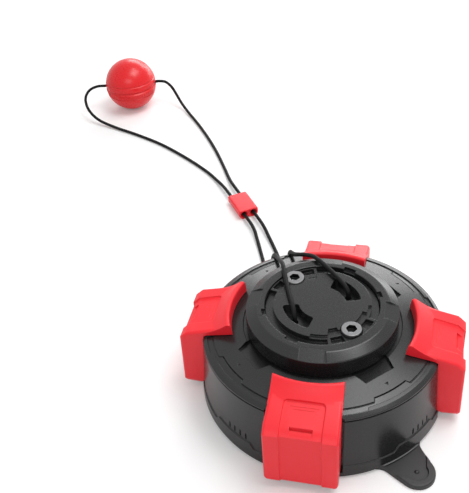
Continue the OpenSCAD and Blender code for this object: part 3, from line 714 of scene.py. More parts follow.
# %% Lever details
PANEL_X, PANEL_HALF, PANEL_CORNER, PANEL_WALL = 71.3, 13, 2.4, 0.6
NOTCH_X, NOTCH_HALF, NOTCH_D = 87.1, 7, 2.4
FINE_LINES, FINE_LINE_W, FINE_LINE_D = ((74.1, 9), (75.9, 6.5)), 0.4, 0.3
CLIP_W, CLIP_H, CLIP_LOW = 2.2, 4.5, 3
SLIT, SLIT_DROP = ((0.3, 0), (1, -1.4), (-0.3, -2.7), (-1.1, -1.3)), 0.9


def panel_cutter():
    def on_floor(p):
        return p.z < LIP_Z + 5 and p.x < SKIRT_X + 1

    def floor_edge(p, q):
        return on_floor(p) and on_floor(q) and (abs(p.y - q.y) < PANEL_HALF or p.x < PANEL_X + 0.1)

    def end_edge(p, q):
        return max(p.x, q.x) < PANEL_X + 0.1 and abs(p.y - q.y) < 0.1

    fold, out, low, high = FOLD_X - PANEL_D / 2, SKIRT_X + 5, SKIRT_Z - 1, LIP_Z + 9
    cutter = slab("panel", [
        (PANEL_X, lever_top(PANEL_X) - PANEL_D), (fold, lever_top(fold) - PANEL_D),
        (KNEE_X - PANEL_D, KNEE_Z - 0.4), (SKIRT_X - PANEL_D, CLIP_Z), (CLIP_X - PANEL_D, low),
        (out, low), (out, high), (PANEL_X, high)], PANEL_HALF)
    round_edges(cutter, end_edge, PANEL_CORNER, ROUND_STEPS)
    return round_edges(cutter, floor_edge, PANEL_WALL, 1)


def fold_notch():
    out, low, high = KNEE_X + 4, KNEE_Z + 0.3, FOLD_Z + 6
    return slab("notch", [
        (NOTCH_X, lever_top(NOTCH_X) - PANEL_D - NOTCH_D), (KNEE_X - PANEL_D - 0.6, low), (out, low),
        (out, high), (NOTCH_X, high)], NOTCH_HALF)


def notch_slit():
    """A blind slit that undercuts the notch's inner end, so that it is in shadow."""
    top = lever_top(NOTCH_X) - PANEL_D - SLIT_DROP
    return slab("slit", [(NOTCH_X + x, top + z) for x, z in SLIT], NOTCH_HALF - 0.05)


def fine_line(x, half):
    low = lever_top(x) - PANEL_D - FINE_LINE_D
    return box("fine_line", (x, x + FINE_LINE_W), (low, low + 2), half)


def clipped_corner(side):
    edge, steep = lever_half(SKIRT_X), CLIP_H / CLIP_W
    section = ((edge + 1, SKIRT_Z - CLIP_LOW), (edge + 1, SKIRT_Z + CLIP_H + steep),
               (edge - CLIP_W - CLIP_LOW / steep, SKIRT_Z - CLIP_LOW))
    return extruded("corner", [(CHEEK_X - 1, side * y, z) for y, z in section], (30, 0, 0))


combine(lever, panel_cutter())
combine(lever, fold_notch())
combine(lever, notch_slit())
combine(lever, joined("lines", [fine_line(x, half) for x, half in FINE_LINES]))
combine(lever, joined("corners", [clipped_corner(1), clipped_corner(-1)]))
smooth(lever)
print("lever:", len(lever.data.polygons), "faces")

# %% Four levers
for side, degrees in SIDES.items():
    copy = turn_z(add_object("lever_shell_" + side, lever.data.copy()), degrees)
    finish_piece(copy, "red_plastic", f"lever_{side}_body", "lever_" + side)
bpy.data.objects.remove(lever)

# %% [markdown]
# The hub's collar is a turned ring with a wide bevel, so it is spun from its outline. Four flat
# patches on the bevel face the levers, small notches cut its inner edge, and a seam crosses the bevel.

# %% Hub collar
HUB_R, COLLAR_Z, BEVEL_Z, COLLAR_TOP, BEVEL_IN_R, GROOVE_R = 50, 56.9, 68.9, 72.4, 43.6, 37.5
WEB_Z, CAP_Z, BARREL_R, BARREL_IN_R, BARREL_Z = 61.9, 66.4, 43.5, 39.5, 52.1
SCREW_RING, SCREW_ANGLES, HEAD_R, HEAD_TOP, HEAD_H, SHANK_R = 30.6, (135, 315), 6.5, 73.6, 4.5, 3.95
SCREW_PLAY, COLLAR_ROUND = 0.3, 0.6
CORD_HOLE_RING, CORD_HOLE_ANGLES, CORD_HOLE_R = 21, (42, 222), 2.2
PATCH_R, PATCH_HALF, PATCH_SINK, PATCH_FALL = 40.6, 7.9, 0.3, 0.36
NOTCHES, NOTCH_OUT, NOTCH_DEEP = ((21, 4.5), (201, 4.5), (68.5, 6.5), (248.5, 6.5)), 2.6, 2.4
SEAM_ANGLE, SEAM_W, SEAM_D, SEAM_FALL = -79, 0.35, 0.4, 0.55


def bevel_cutter(name, r_start, sink, half, fall):
    """A cutter that takes a sloping flat off the bevel."""
    end = HUB_R + 2
    low = COLLAR_TOP - sink
    return slab(name, [(r_start, low), (end, low - fall * (end - r_start)), (end, COLLAR_TOP + 2),
                       (r_start, COLLAR_TOP + 2)], half)


def screw_bores(radius, z_low, z_high):
    return [post("bore", radius, z_low, z_high, *around(SCREW_RING, a)) for a in SCREW_ANGLES]


collar = turned("hub_collar_ring", [
    (0, WEB_Z), (BARREL_IN_R, WEB_Z), (BARREL_IN_R, BARREL_Z), (BARREL_R, BARREL_Z), (BARREL_R, COLLAR_Z),
    (HUB_R, COLLAR_Z), (HUB_R, BEVEL_Z), (BEVEL_IN_R, COLLAR_TOP), (GROOVE_R, COLLAR_TOP),
    (GROOVE_R, CAP_Z), (0, CAP_Z)], COLLAR_ROUND)
seam = bevel_cutter("seam", BEVEL_IN_R - SEAM_D, SEAM_D, SEAM_W / 2, SEAM_FALL)
collar_cuts = [
    on_sides("patches", lambda: bevel_cutter("patch", PATCH_R, PATCH_SINK, PATCH_HALF, PATCH_FALL)),
    turn_z(seam, SEAM_ANGLE)]
collar_cuts += [ring_sector("notch", GROOVE_R - 1, GROOVE_R + NOTCH_OUT, a, half, COLLAR_TOP - NOTCH_DEEP,
                            COLLAR_TOP + 1) for a, half in NOTCHES]
collar_cuts += screw_bores(SHANK_R + SCREW_PLAY, WEB_Z - 2, CAP_Z + 1)
collar_cuts += [post("bore", CORD_HOLE_R, WEB_Z - 2, CAP_Z + 1, *around(CORD_HOLE_RING, a), sides=24)
                for a in CORD_HOLE_ANGLES]
combine(collar, joined("collar_cuts", collar_cuts))
finish_piece(smooth(collar), "black_plastic", "hub", "hub_collar")

# %% [markdown]
# The cap plate clamps the cord's knots. Its rim is a full arc beside each cord slot and steps back
# beside each screw, where a lower ledge with two pockets shows. So the cap is two plates, one on the
# other, and its slots, pockets and bores are cut last.

# %% Hub cap
CAP_R, CAP_TOP, LEDGE_Z, FLAT_R, GROOVE_Z = 32, 72.9, 71.3, 37.1, 68.6
RIM_ARCS = ((29.5, -96, -75), (27, -75, -9), (29.8, -9, 4), (CAP_R, 4, 84))
SLOT_IN_R, SLOT_OUT_R, SLOT_MIDDLE, SLOT_HALF, SLOT_CORNER = 15, 25.7, 46, 32, 2
FLAT_HALF, RECESS_IN_R, RECESS_OUT_R, RECESS_MIDDLE, RECESS_HALF = 31, 30.8, 36.4, 20.5, 7.2
STEP_IN_R, STEP_OUT_R, STEP_TURN, STEP_SPAN, STEP_D, HEAD_PLAY = 24.4, 28, -22, 7, 0.4, 0.5


def slot_outline(r_in, r_out, middle, half, corner):
    """The outline of a curved slot with rounded corners."""
    def reach(r):
        return half - math.degrees(math.asin(corner / r))

    def rounded(r, way, start):
        turn = middle + way * reach(r)
        return arc(corner, turn + start, turn + start + 90, 5, around(r, turn))

    out, inn = r_out - corner, r_in + corner
    return [*rounded(out, 1, 0), *rounded(inn, 1, 90),
            *arc(r_in, middle + reach(inn), middle - reach(inn), 16)[1:-1],
            *rounded(inn, -1, 180), *rounded(out, -1, 270),
            *arc(r_out, middle - reach(out), middle + reach(out), 24)[1:-1]]


rim = [point for half_turn in (0, 180) for r, start, end in RIM_ARCS
       for point in arc(r, start + half_turn, end + half_turn, max(6, int((end - start) / 2)))]
ledge = [point for a in SCREW_ANGLES for point in (
    arc(CAP_R, a - 180 + FLAT_HALF, a - FLAT_HALF, 60) + arc(FLAT_R, a - FLAT_HALF, a + FLAT_HALF, 60))]
cap = plate("hub_cap_plate", ledge, CAP_Z, LEDGE_Z)
combine(cap, plate("rim", rim, CAP_Z + 1, CAP_TOP), "UNION")
combine(cap, post("floor", FLAT_R - 0.05, CAP_Z + 0.5, GROOVE_Z, sides=160), "UNION")
cap_cuts = [plate("slot", slot_outline(SLOT_IN_R, SLOT_OUT_R, SLOT_MIDDLE + a, SLOT_HALF, SLOT_CORNER),
                  CAP_Z - 1, CAP_TOP + 1) for a in (0, 180)]
for a in SCREW_ANGLES:
    cap_cuts += [ring_sector("recess", RECESS_IN_R, RECESS_OUT_R, a + way * RECESS_MIDDLE, RECESS_HALF,
                             GROOVE_Z, CAP_TOP + 1) for way in (1, -1)]
    cap_cuts.append(ring_sector("step", STEP_IN_R, STEP_OUT_R, a + STEP_TURN, STEP_SPAN, LEDGE_Z - STEP_D,
                                CAP_TOP + 1))
cap_cuts += screw_bores(HEAD_R + HEAD_PLAY, HEAD_TOP - HEAD_H, HEAD_TOP + 2)
combine(cap, joined("cap_cuts", cap_cuts), overlaps=True)
combine(cap, joined("cap_bores", screw_bores(SHANK_R + SCREW_PLAY, CAP_Z - 2, CAP_TOP)))
finish_piece(smooth(cap), "black_plastic", "hub", "hub_cap")

# %% [markdown]
# Two socket screws hold the cap. Each has a head with a soft edge, a hexagon socket and a plain shank,
# so it is spun and then broached with a six-sided cutter. The socket's faces get a darker steel that
# paints the shade inside the socket.

# %% Cap screws
HEX_AF, HEX_D, SHANK_END_Z, HEAD_ROUND = 6.4, 3.4, 48.1, 0.5


def cap_screw(degrees):
    screw = turned("screw", [
        (0, SHANK_END_Z), (SHANK_R, SHANK_END_Z), (SHANK_R, HEAD_TOP - HEAD_H), (HEAD_R, HEAD_TOP - HEAD_H),
        (HEAD_R, HEAD_TOP), (0, HEAD_TOP)], HEAD_ROUND, steps=96)
    hex_r = HEX_AF / 2 / math.cos(math.pi / 6)
    combine(screw, post("hexagon", hex_r, HEAD_TOP - HEX_D, HEAD_TOP + 1, sides=6))
    return moved(screw, (*around(SCREW_RING, degrees), 0))


screws = smooth(joined("cap_screw_pair", [cap_screw(a) for a in SCREW_ANGLES]))
finish_piece(screws, "steel", "hub", "cap_screws")
# The darker steel on the socket's faces is painted shade.
screws.data.materials.append(finishes["socket_shade_steel"])
for face in screws.data.polygons:
    middle = face.center / MM
    from_axis = min((middle.xy - Vector(around(SCREW_RING, a))).length for a in SCREW_ANGLES)
    sunk = HEAD_TOP - HEX_D - 0.1 < middle.z < HEAD_TOP - 0.2
    face.material_index = int(sunk and from_axis < HEX_AF / 2 + 0.2)

# %% [markdown]
# The cover is a low cone with a round outer edge, a well for the hub and a pocket at each corner.
# Between the levers a stepped panel line parts it from a steeper strip near the rim, and a narrow
# reveal parts the cover from the drum. All of it is one turned piece with its cuts.

# %% Top cover
WELL_Z, WELL_T, HOLE_R, COVER_T, BAY_HALF = 56, 3.5, 43.6, 4.5, 24.2
REVEAL_R, REVEAL_Z, MOULD_ROUND = 78.6, 50, 0.3
SPIGOT_IN, SPIGOT_OUT, SPIGOT_Z = 73.7, 76.7, 44
cover = turned("top_cover_cone", [
    (WELL_R, WELL_EDGE_Z), (WELL_R, WELL_Z), (HOLE_R, WELL_Z), (HOLE_R, WELL_Z - WELL_T),
    (WELL_R, WELL_Z - WELL_T), (SPIGOT_IN, cone_height(SPIGOT_IN) - COVER_T), (SPIGOT_IN, SPIGOT_Z),
    (SPIGOT_OUT, SPIGOT_Z), (SPIGOT_OUT, WALL_TOP_Z - 0.1), (REVEAL_R, WALL_TOP_Z - 0.1),
    (REVEAL_R, REVEAL_Z), (RIM_R, REVEAL_Z), (RIM_R, RIM_Z), (RIM_IN_R, cone_height(RIM_IN_R))],
    MOULD_ROUND, closed=True)
print("cover blank:", len(cover.data.polygons), "faces")

# %% Panel lines, strips and pockets of the cover
LINE_W, LINE_D, LINE_REACH, STRIP_REACH = 0.7, 0.85, 28.7, 28.1
LINE_STEPS = ((73.2, -LINE_REACH, -11.7), (70.6, -10.6, 9.1), (73.2, 10.1, LINE_REACH))
STRIP_STEPS, STRIP_FALL = ((77.1, -STRIP_REACH, -16), (75.1, -15.3, STRIP_REACH)), 0.15
STRIP_D, MARK_D, CORNERS = 0.1, 0.5, (45, 135, 225, 315)
POCKET_FLOOR, POCKET_IN, POCKET_OUT, POCKET_IN_HALF, POCKET_OUT_HALF = 54.2, 46, 59, 14.5, 11
MARK_R, MARK_AT = 1.3, 65.5


def stepped(steps, aside=0):
    """Points of a stepped line of arcs, moved aside along the radius."""
    return [point for r, start, end in steps
            for point in arc(r + aside, start, end, max(4, int(end - start)))]


def at_corners(name, pieces):
    """One cutter from pieces that are drawn at angle 0 and repeat at each corner."""
    copies = []
    for piece in pieces:
        copies += [turn_z(add_object(name, piece.data.copy()), corner) for corner in CORNERS[1:]]
        copies.append(turn_z(piece, CORNERS[0]))
    return joined(name, copies)


def strip_cutter():
    inner, outer = LINE_STEPS[1][0], STRIP_STEPS[0][0]
    start, end, fall = inner - 1, outer + 1, STRIP_FALL * (outer - inner)
    strip = turned("strip", [
        (start, cone_height(start) - STRIP_D), (end, cone_height(end) - STRIP_D - fall),
        (end, WELL_EDGE_Z), (start, WELL_EDGE_Z)], closed=True)
    area = plate("area", stepped(STRIP_STEPS) + stepped(LINE_STEPS)[::-1], EDGE_Z - 4, WELL_EDGE_Z - 1)
    return combine(area, strip, "INTERSECT")


line_sides = stepped(LINE_STEPS, LINE_W / 2) + stepped(LINE_STEPS, -LINE_W / 2)[::-1]
line = plate("line", line_sides, cone_height(LINE_STEPS[0][0]) - LINE_D, WELL_EDGE_Z)
pocket = plate("pocket", [
    (POCKET_IN, -POCKET_IN_HALF), (POCKET_OUT, -POCKET_OUT_HALF), (POCKET_OUT, POCKET_OUT_HALF),
    (POCKET_IN, POCKET_IN_HALF)], POCKET_FLOOR, WELL_EDGE_Z + 2)
mark = post("mark", MARK_R, cone_height(MARK_AT) - MARK_D, WELL_EDGE_Z + 2, MARK_AT, sides=3)
combine(cover, at_corners("strips", [strip_cutter()]))
combine(cover, at_corners("lines", [line]))
combine(cover, at_corners("pockets", [pocket, mark]))
combine(cover, on_sides("cover_bays", lambda: box("bay", (BAY_X - 0.2, RIM_R + 9), (30, 60), BAY_HALF)))
finish_piece(smooth(cover), "black_plastic", "base", "top_cover")

# %% [markdown]
# The drum's wall leans out a little towards its foot and ends in a raised plinth that steps up at each
# corner. Flat bays let the levers swing, with ears for their pins and a window for each arm. It is
# turned, cut flat, and the bay walls and ears are set back in.

# %% Drum wall and plinth
FOOT_R, LIP_T, WALL, PLATE_Z, PLATE_HOLE_R = 83, 3.5, 3, 14, 4.3
PLINTH_Z, PLINTH_OUT, PLINTH_LEAN, RING_STEPS = 10, 0.7, 0.6, 720
STEP_TOP, STEP_AT, STEP_HALF, STEP_SLOPE = 14, 54, 10.5, 2.5
BAY_IN_X, BAY_SIDE, BAY_TOP_Z = 72.6, 3, 52


def wall_radius(z):
    return FOOT_R - (FOOT_R - RIM_R) * (z - LIP_T) / (WALL_TOP_Z - LIP_T)


def plinth_top(degrees):
    """Height of the plinth: it rises over a short slope at each corner."""
    from_step = abs((degrees - STEP_AT + 45) % 90 - 45)
    rise = min(1, max(0, (STEP_HALF + STEP_SLOPE - from_step) / STEP_SLOPE))
    return PLINTH_Z + rise * (STEP_TOP - PLINTH_Z)


def plinth_ring():
    low, points, faces = LIP_T + 0.01, [], []
    for k in range(RING_STEPS):
        top = plinth_top(360 * k / RING_STEPS)
        section = ((FOOT_R - 2, low), (wall_radius(low) + PLINTH_OUT, low),
                   (wall_radius(top) + PLINTH_OUT, top), (wall_radius(top) - 0.3, top + PLINTH_LEAN))
        points += [(*around(r, 360 * k / RING_STEPS), z) for r, z in section]
        here, there = 4 * k, 4 * ((k + 1) % RING_STEPS)
        faces += [(here + i, here + (i + 1) % 4, there + (i + 1) % 4, there + i) for i in range(4)]
    ring = new_piece("plinth", points, faces=faces)
    with editing(ring):
        clean()
    return ring


def bays(aside=0):
    """One cutter for the four flat bays."""
    return on_sides("bays", lambda: box("bay", (BAY_X + aside, RIM_R + 12), (0, BAY_TOP_Z), BAY_HALF + aside))


drum = turned("drum_body", [
    (FOOT_R - WALL, LIP_T), (FOOT_R, LIP_T), (RIM_R, WALL_TOP_Z), (RIM_R - WALL, WALL_TOP_Z),
    (wall_radius(PLATE_TOP_Z) - WALL, PLATE_TOP_Z), (PLATE_HOLE_R, PLATE_TOP_Z), (PLATE_HOLE_R, PLATE_Z),
    (wall_radius(PLATE_Z) - WALL, PLATE_Z)], MOULD_ROUND, closed=True)
combine(drum, plinth_ring(), "UNION")
combine(drum, bays())
print("drum blank:", len(drum.data.polygons), "faces")

# %% Bay walls, ears and openings of the drum
EAR_IN, EAR_T, EAR_R, WINDOW_HALF, WINDOW_Z, WINDOW_TOP = 11, 4, 3.6, 7, 6.3, 30
STEM_X, STEM_R, EAR_PLAY, FLAT_TOP_Z, FLAT_INSET = 64, 3.06, 0.06, WALL_TOP_Z - 0.6, 0.8
WALL_SLOTS, WALL_SLOT_W, WALL_SLOT_D, WALL_SLOT_Z, WALL_SLOT_H = 4, 1.1, 1.2, 15.6, 5
FIRST_SLOT, SLOT_STEP = 7, 3.4


def ear(way):
    section = [(BAY_IN_X + 1, PIN_Z + EAR_R), (BAY_IN_X + 1, PIN_Z - EAR_R)]
    section += arc(EAR_R, -90, 90, 12, (PIN_X, PIN_Z))
    return slab("ear", section, EAR_T / 2, way * (EAR_IN + EAR_T / 2))


def arm_window():
    """The window in a bay's wall, with a slot in the floor plate behind it."""
    inside, slot_end, slot_low, slot_top = BAY_IN_X - 1, ARM_TIP_X - 1.5, PLATE_Z - 1, PLATE_TOP_Z + 1
    return slab("window", [
        (inside, WINDOW_Z), (BAY_X + 1, WINDOW_Z), (BAY_X + 1, WINDOW_TOP), (inside, WINDOW_TOP),
        (inside, slot_top), (slot_end, slot_top), (slot_end, slot_low), (inside, slot_low)], WINDOW_HALF)


def wall_slot():
    start = wall_radius(WALL_SLOT_Z) - WALL_SLOT_D
    return box("slot", (start, FOOT_R + 5), (WALL_SLOT_Z, WALL_SLOT_Z + WALL_SLOT_H), WALL_SLOT_W / 2)


flats = on_sides("flats", lambda: box("flat", (BAY_IN_X, RIM_R - 1), (LIP_T + 0.03, FLAT_TOP_Z),
                                      BAY_HALF + BAY_SIDE))
combine(flats, bays(0.05))
cone = [(0, 0), (wall_radius(0) - FLAT_INSET, 0), (wall_radius(BAY_TOP_Z) - FLAT_INSET, BAY_TOP_Z),
        (0, BAY_TOP_Z)]
combine(flats, turned("cone", cone, closed=True), "INTERSECT")
combine(drum, flats, "UNION")
combine(drum, on_sides("ears", lambda: joined("ear_pair", [ear(1), ear(-1)])), "UNION")
drum_cuts = [
    on_sides("windows", arm_window),
    on_sides("stem_holes", lambda: post("stem_hole", STEM_R, PLATE_Z - 1, PLATE_TOP_Z + 1, STEM_X)),
    on_sides("pin_holes", lambda: pin_hole(EAR_PLAY, EAR_IN + EAR_T + 1))]
drum_cuts += [turn_z(wall_slot(), corner + FIRST_SLOT + k * SLOT_STEP)
              for corner in CORNERS for k in range(WALL_SLOTS)]
combine(drum, joined("drum_cuts", drum_cuts))
finish_piece(smooth(drum), "black_plastic", "base", "drum")

# %% [markdown]
# The suction pad is moulded rubber: a turned disc with a hollow face, and a pull tab that breaks the
# seal. The tab widens towards the lip in a soft curve, has a raised rim round its end, a nub that
# gives a wet finger some grip, and a glossy bead where it meets the drum. The bead's lighter grey is
# partly its own tone and partly a painted highlight line.

# %% Suction pad and pull tab
LIP_R, SEAL_IN_R, CUP_D, BOSS_R, PAD_Z, PAD_ROUND = 82.5, 62, 3, 24, 8, 0.5
PAD_LOW_R, PAD_HIGH_R, TAB_LOW, TAB_ROUND, SUNK_ROUND = 60, 54, 0.2, 1.2, 0.6
TAB_REACH, TAB_END_R, TAB_TURN, TAB_TOP, TAB_FLOOR, TAB_END_RIM = 97.8, 11.5, -45, 3.9, 2.4, 4.4
TAB_ROOT = [(72, 20), (80.6, 18.4), (82.2, 16.4), (84.2, 14.9), (87, 14), (92, 13)]
TAB_SUNK = [(83, 19), (84.2, 16), (87, 15), (91, 14)]
NUB_R, NUB_H, NUB_Z = 1.7, 2.6, 1
BEAD_R, BEAD_AT, BEAD_Z, BEAD_SPAN = 0.55, 84.1, 3.5, 10


def tab_outline(flank, end_r):
    """One flank, the round end, and the other flank."""
    return flank + arc(end_r, 80, -80, 20, (TAB_REACH, 0)) + [(u, -v) for u, v in reversed(flank)]


def top_edge(p, q):
    return min(p.z, q.z) > TAB_TOP - 0.05 and min(p.x, q.x) > TAB_ROOT[1][0] - 0.1


def floor_edge(p, q):
    return max(p.z, q.z) < TAB_FLOOR + 0.05


pad = turned("suction_pad_body", [
    (0, CUP_D), (BOSS_R, CUP_D), (SEAL_IN_R, 0), (LIP_R, 0), (LIP_R, LIP_T),
    (PAD_LOW_R, LIP_T), (PAD_HIGH_R, PAD_Z), (BOSS_R + 4, PAD_Z), (BOSS_R, PLATE_Z), (0, PLATE_Z)],
    PAD_ROUND, steps=200)
tab = plate("tab", tab_outline(TAB_ROOT, TAB_END_R), TAB_LOW, TAB_TOP)
round_edges(tab, top_edge, TAB_ROUND)
sunk = plate("sunk", tab_outline(TAB_SUNK, TAB_END_R - TAB_END_RIM), TAB_FLOOR, TAB_TOP + 2)
round_edges(sunk, floor_edge, SUNK_ROUND, 3)
combine(tab, sunk)
nub = turned("nub", [
    (0, NUB_Z), (NUB_R, NUB_Z), (NUB_R, NUB_Z + NUB_H / 2), (NUB_R / 2, NUB_Z + NUB_H), (0, NUB_Z + NUB_H)],
    PAD_ROUND, steps=32)
combine(tab, moved(nub, (TAB_REACH, 0, 0)), "UNION")
combine(pad, turn_z(tab, TAB_TURN), "UNION")
finish_piece(smooth(pad), "pad_rubber", "base", "suction_pad")
bead_line = arc(BEAD_AT, TAB_TURN - BEAD_SPAN, TAB_TURN + BEAD_SPAN)
bead = cord_tube("tab_bead", [Vector((x, y, BEAD_Z)) * MM for x, y in bead_line], BEAD_R * MM)
# The bead's lighter grey is partly a painted highlight line.
finish_piece(bead, "bead_rubber_and_highlight", "base")

# %% [markdown]
# The slider keeps the strands together: two tubes side by side under a flat top, with funnel mouths
# so that the cord doesn't chafe. Its section is extruded, and the funnels are turned and cut out.

# %% Cord slider
SLIDER_AT, SLIDER_TURN, SLIDER_L, SLIDER_T, STRAND_HALF = (-99.5, 191.7), 125, 28, 9, 4.5
BARREL, SLIDER_HOLE_R, MOUTH_R, MOUTH_D, SLIDER_ROUND, SLIDER_EDGE = 4.5, 1.9, 3.1, 5, 1.4, 0.6


def funnel(x):
    """A drill for one strand, wider at both mouths."""
    half = SLIDER_L / 2
    drill = turned("funnel", [
        (0, -half - 1), (MOUTH_R + 0.2, -half - 1), (MOUTH_R, -half), (SLIDER_HOLE_R, MOUTH_D - half),
        (SLIDER_HOLE_R, half - MOUTH_D), (MOUTH_R, half), (MOUTH_R + 0.2, half + 1), (0, half + 1)],
        steps=40)
    return moved(drill, (x, 0, SLIDER_T / 2), 90, "X")


low_barrel = [(STRAND_HALF + x, BARREL + z) for x, z in arc(BARREL, 0, -133, 14)]
right_half = arc(SLIDER_ROUND, 90, 0, 5, (2 * BARREL - SLIDER_ROUND, SLIDER_T - SLIDER_ROUND)) + low_barrel
slider = slab("cord_slider_body", right_half + [(-x, z) for x, z in reversed(right_half)], SLIDER_L / 2)
combine(slider, joined("funnels", [funnel(STRAND_HALF), funnel(-STRAND_HALF)]))
soften(slider, SLIDER_EDGE)
moved(slider, (*SLIDER_AT, 0), SLIDER_TURN - 90)
finish_piece(slider, "red_plastic", "slider", "cord_slider")

# %% [markdown]
# The ball is moulded in two halves that meet in a belt groove, with a finer line above and below it
# and groups of short ribs between. Its outline is half a circle with the grooves drawn in, and the
# ribs are short tubes laid on it.

# %% Tug ball
BALL_R, BALL_AT, BALL_TURN, BORE_R, BORE_MOUTH_R, BORE_D = 27.5, (-264.8, 370.1), 16, 1.9, 3.2, 4
BALL_GROOVES = ((0, 1.3), (0.26 * BALL_R, 0.7), (-0.26 * BALL_R, 0.7))
RIB_GROUPS, RIBS, RIB_STEP, RIB_R, RIB_SINK = (-60, 30, 120, 210), 6, 6, 0.7, 0.2
RIB_LOW, RIB_HIGH, RIB_RINGS, BALL_STEPS = -5.6, -2.2, 4, 150


def ball_radius(z):
    """Radius at a height over the ball's middle, grooves taken off."""
    r = math.sqrt(max(0, BALL_R ** 2 - z ** 2))
    for level, width in BALL_GROOVES:
        if abs(z - level) < width:
            r -= math.sqrt(width ** 2 - (z - level) ** 2)
    return r


heights = [BALL_R * math.sin(math.radians(-90 + 180 / BALL_STEPS * k)) for k in range(BALL_STEPS + 1)]
ball = turned("tug_ball_body", [(ball_radius(z), z) for z in heights], steps=144)


def rib(degrees):
    levels = [RIB_LOW + (RIB_HIGH - RIB_LOW) * k / RIB_RINGS for k in range(RIB_RINGS + 1)]
    path = [Vector((*around(math.sqrt(BALL_R ** 2 - z ** 2) - RIB_SINK, degrees), z)) * MM for z in levels]
    return cord_tube("rib", path, RIB_R * MM)


ribs = joined("ribs", [rib(start + k * RIB_STEP) for start in RIB_GROUPS for k in range(RIBS)])
combine(ball, ribs, "UNION")
bore = turned("bore", [
    (0, -BALL_R - 2), (BORE_MOUTH_R + 1, -BALL_R - 2), (BORE_R, BORE_D - BALL_R), (BORE_R, BALL_R - BORE_D),
    (BORE_MOUTH_R + 1, BALL_R + 2), (0, BALL_R + 2)], steps=48)
combine(ball, moved(bore, (0, 0, 0), 90, "Y"))
smooth(ball)
moved(ball, (*BALL_AT, BALL_R), BALL_TURN)
finish_piece(ball, "ball_rubber", "ball", "tug_ball")

# %% [markdown]
# Under the hub's web each strand ends in an overhand knot. Its shape is the plain trefoil curve, which
# is what an overhand knot is once its ends are joined, so a tube along that curve makes it.

# %% End knots
KNOT_Z, KNOT_R, KNOT_SPREAD, KNOT_CORD_R, KNOT_STEPS = 58.3, 1.05, 1.4, 1.3, 72


def knot(degrees):
    x, y = around(CORD_HOLE_RING, degrees)
    path = []
    for k in range(KNOT_STEPS + 1):
        t = math.tau * k / KNOT_STEPS
        path.append(Vector((x + KNOT_R * (math.sin(t) + KNOT_SPREAD * math.sin(2 * t)),
                            y + KNOT_R * (math.cos(t) - KNOT_SPREAD * math.cos(2 * t)),
                            KNOT_Z - KNOT_SPREAD * KNOT_R * math.sin(3 * t))) * MM)
    return cord_tube("knot", path, KNOT_CORD_R * MM)


knots = joined("cord_end_knots", [knot(a) for a in CORD_HOLE_ANGLES])
finish_piece(knots, "braided_cord", "hub", "cord_knots")

# %% [markdown]
# Pieces that stay as they were measured keep their meshes and get a finish: the parts inside the drum
# that show when a lever is open or the toy is turned over.

# %% Finishes on the measured pieces
KEPT = {
    "black_plastic": ["hub_retainer", *("foot_" + s for s in SIDES)],
    "steel": ["pad_stud", "stud_washer", "stud_nut", "cover_screws", *("pin_" + s for s in SIDES)],
    "white_plastic": ["swivel_washer"],
}
for finish, names in KEPT.items():
    for name in names:
        dress(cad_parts[name], finish)
print("kept nodes:", sum(len(names) for names in KEPT.values()))

# %% [markdown]
# The picture is a cut-out on white, so the floor is pale and adds a little light of its own for the
# camera, more of it far away. It reads as white but keeps a soft shadow.

# %% Floor
FLOOR_SIZE, FLOOR_TONE = 12, (0.86, 0.86, 0.86, 1)
GLOW_FROM, GLOW_TO, GLOW_NEAR, GLOW_FAR = 0.6, 1.8, 0.1, 0.6


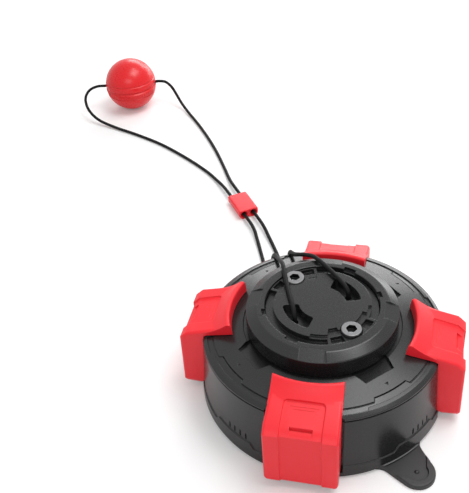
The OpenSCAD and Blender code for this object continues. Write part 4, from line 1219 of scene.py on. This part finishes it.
def floor_finish(name):
    tree, shader = new_finish(name)
    put(shader, Base_Color=FLOOR_TONE, Roughness=0.9, Specular_IOR_Level=0,
        Emission_Color=(1, 1, 1, 1))
    place, rays, away, glow, seen = new_nodes(
        tree, "TexCoord", "LightPath", "VectorMath", "MapRange", "Math")
    away.operation = "LENGTH"
    seen.operation = "MULTIPLY"
    put(glow, From_Min=GLOW_FROM, From_Max=GLOW_TO, To_Min=GLOW_NEAR, To_Max=GLOW_FAR)
    wire(tree, (place, "Object", away, 0), (away, "Value", glow, "Value"),
         (rays, "Is Camera Ray", seen, 0), (glow, "Result", seen, 1),
         (seen, 0, shader, "Emission Strength"))


floor_finish("pale_floor")
bpy.ops.object.select_all(action="DESELECT")
bpy.ops.mesh.primitive_plane_add(size=FLOOR_SIZE, location=(0, 0, 0))
floor = bpy.context.object
floor.name = "floor"
floor.data.materials.append(finishes["pale_floor"])
print("stage:", floor.name)

# %% [markdown]
# Light comes from above and behind. A softbox over the right side makes the cover shine there, with
# a small bright spot in it, and two strips behind brighten the far side and the hub. A front fill
# lights the levers' folds, and a white world fills the rest, dimmer where it lights than where it
# is seen or mirrored.

# %% World and lamps
WORLD_FILL, MIDDLE = 0.5, (0, 0, 0.05)


def area_lamp(name, at, aim, size, power):
    data = bpy.data.lights.new(name, "AREA")
    data.shape = "RECTANGLE"
    data.size, data.size_y = size
    data.energy = power
    lamp = add_object(name, data)
    lamp.location = at
    lamp.rotation_euler = (Vector(aim) - Vector(at)).to_track_quat("-Z", "Y").to_euler()
    return lamp


world = bpy.data.worlds.new("studio")
bpy.context.scene.world = world
world.use_nodes = True
tree = world.node_tree
background = tree.nodes["Background"]
put(background, Color=(1, 1, 1, 1))
rays, seen, strength = new_nodes(tree, "LightPath", "Math", "MapRange")
seen.operation = "MAXIMUM"
put(strength, To_Min=WORLD_FILL, To_Max=1)
wire(tree, (rays, "Is Camera Ray", seen, 0), (rays, "Is Glossy Ray", seen, 1),
     (seen, 0, strength, "Value"), (strength, "Result", background, "Strength"))

area_lamp("softbox", (0.4, 0.28, 1.35), (0.4, 0.28, 0), (0.85, 1), 12)
area_lamp("spot", (0.27, 0.17, 1.3), (0.27, 0.17, 0), (0.25, 0.25), 1.2)
area_lamp("back_strip", (-0.12, 1.5, 0.62), MIDDLE, (1.1, 0.4), 8)
area_lamp("front_fill", (0.1, -1.3, 1.3), MIDDLE, (1, 0.6), 6)
area_lamp("low_strip", (0.35, 1.5, 0.18), MIDDLE, (0.9, 0.3), 3.4)
bpy.context.scene.view_settings.view_transform = "Standard"
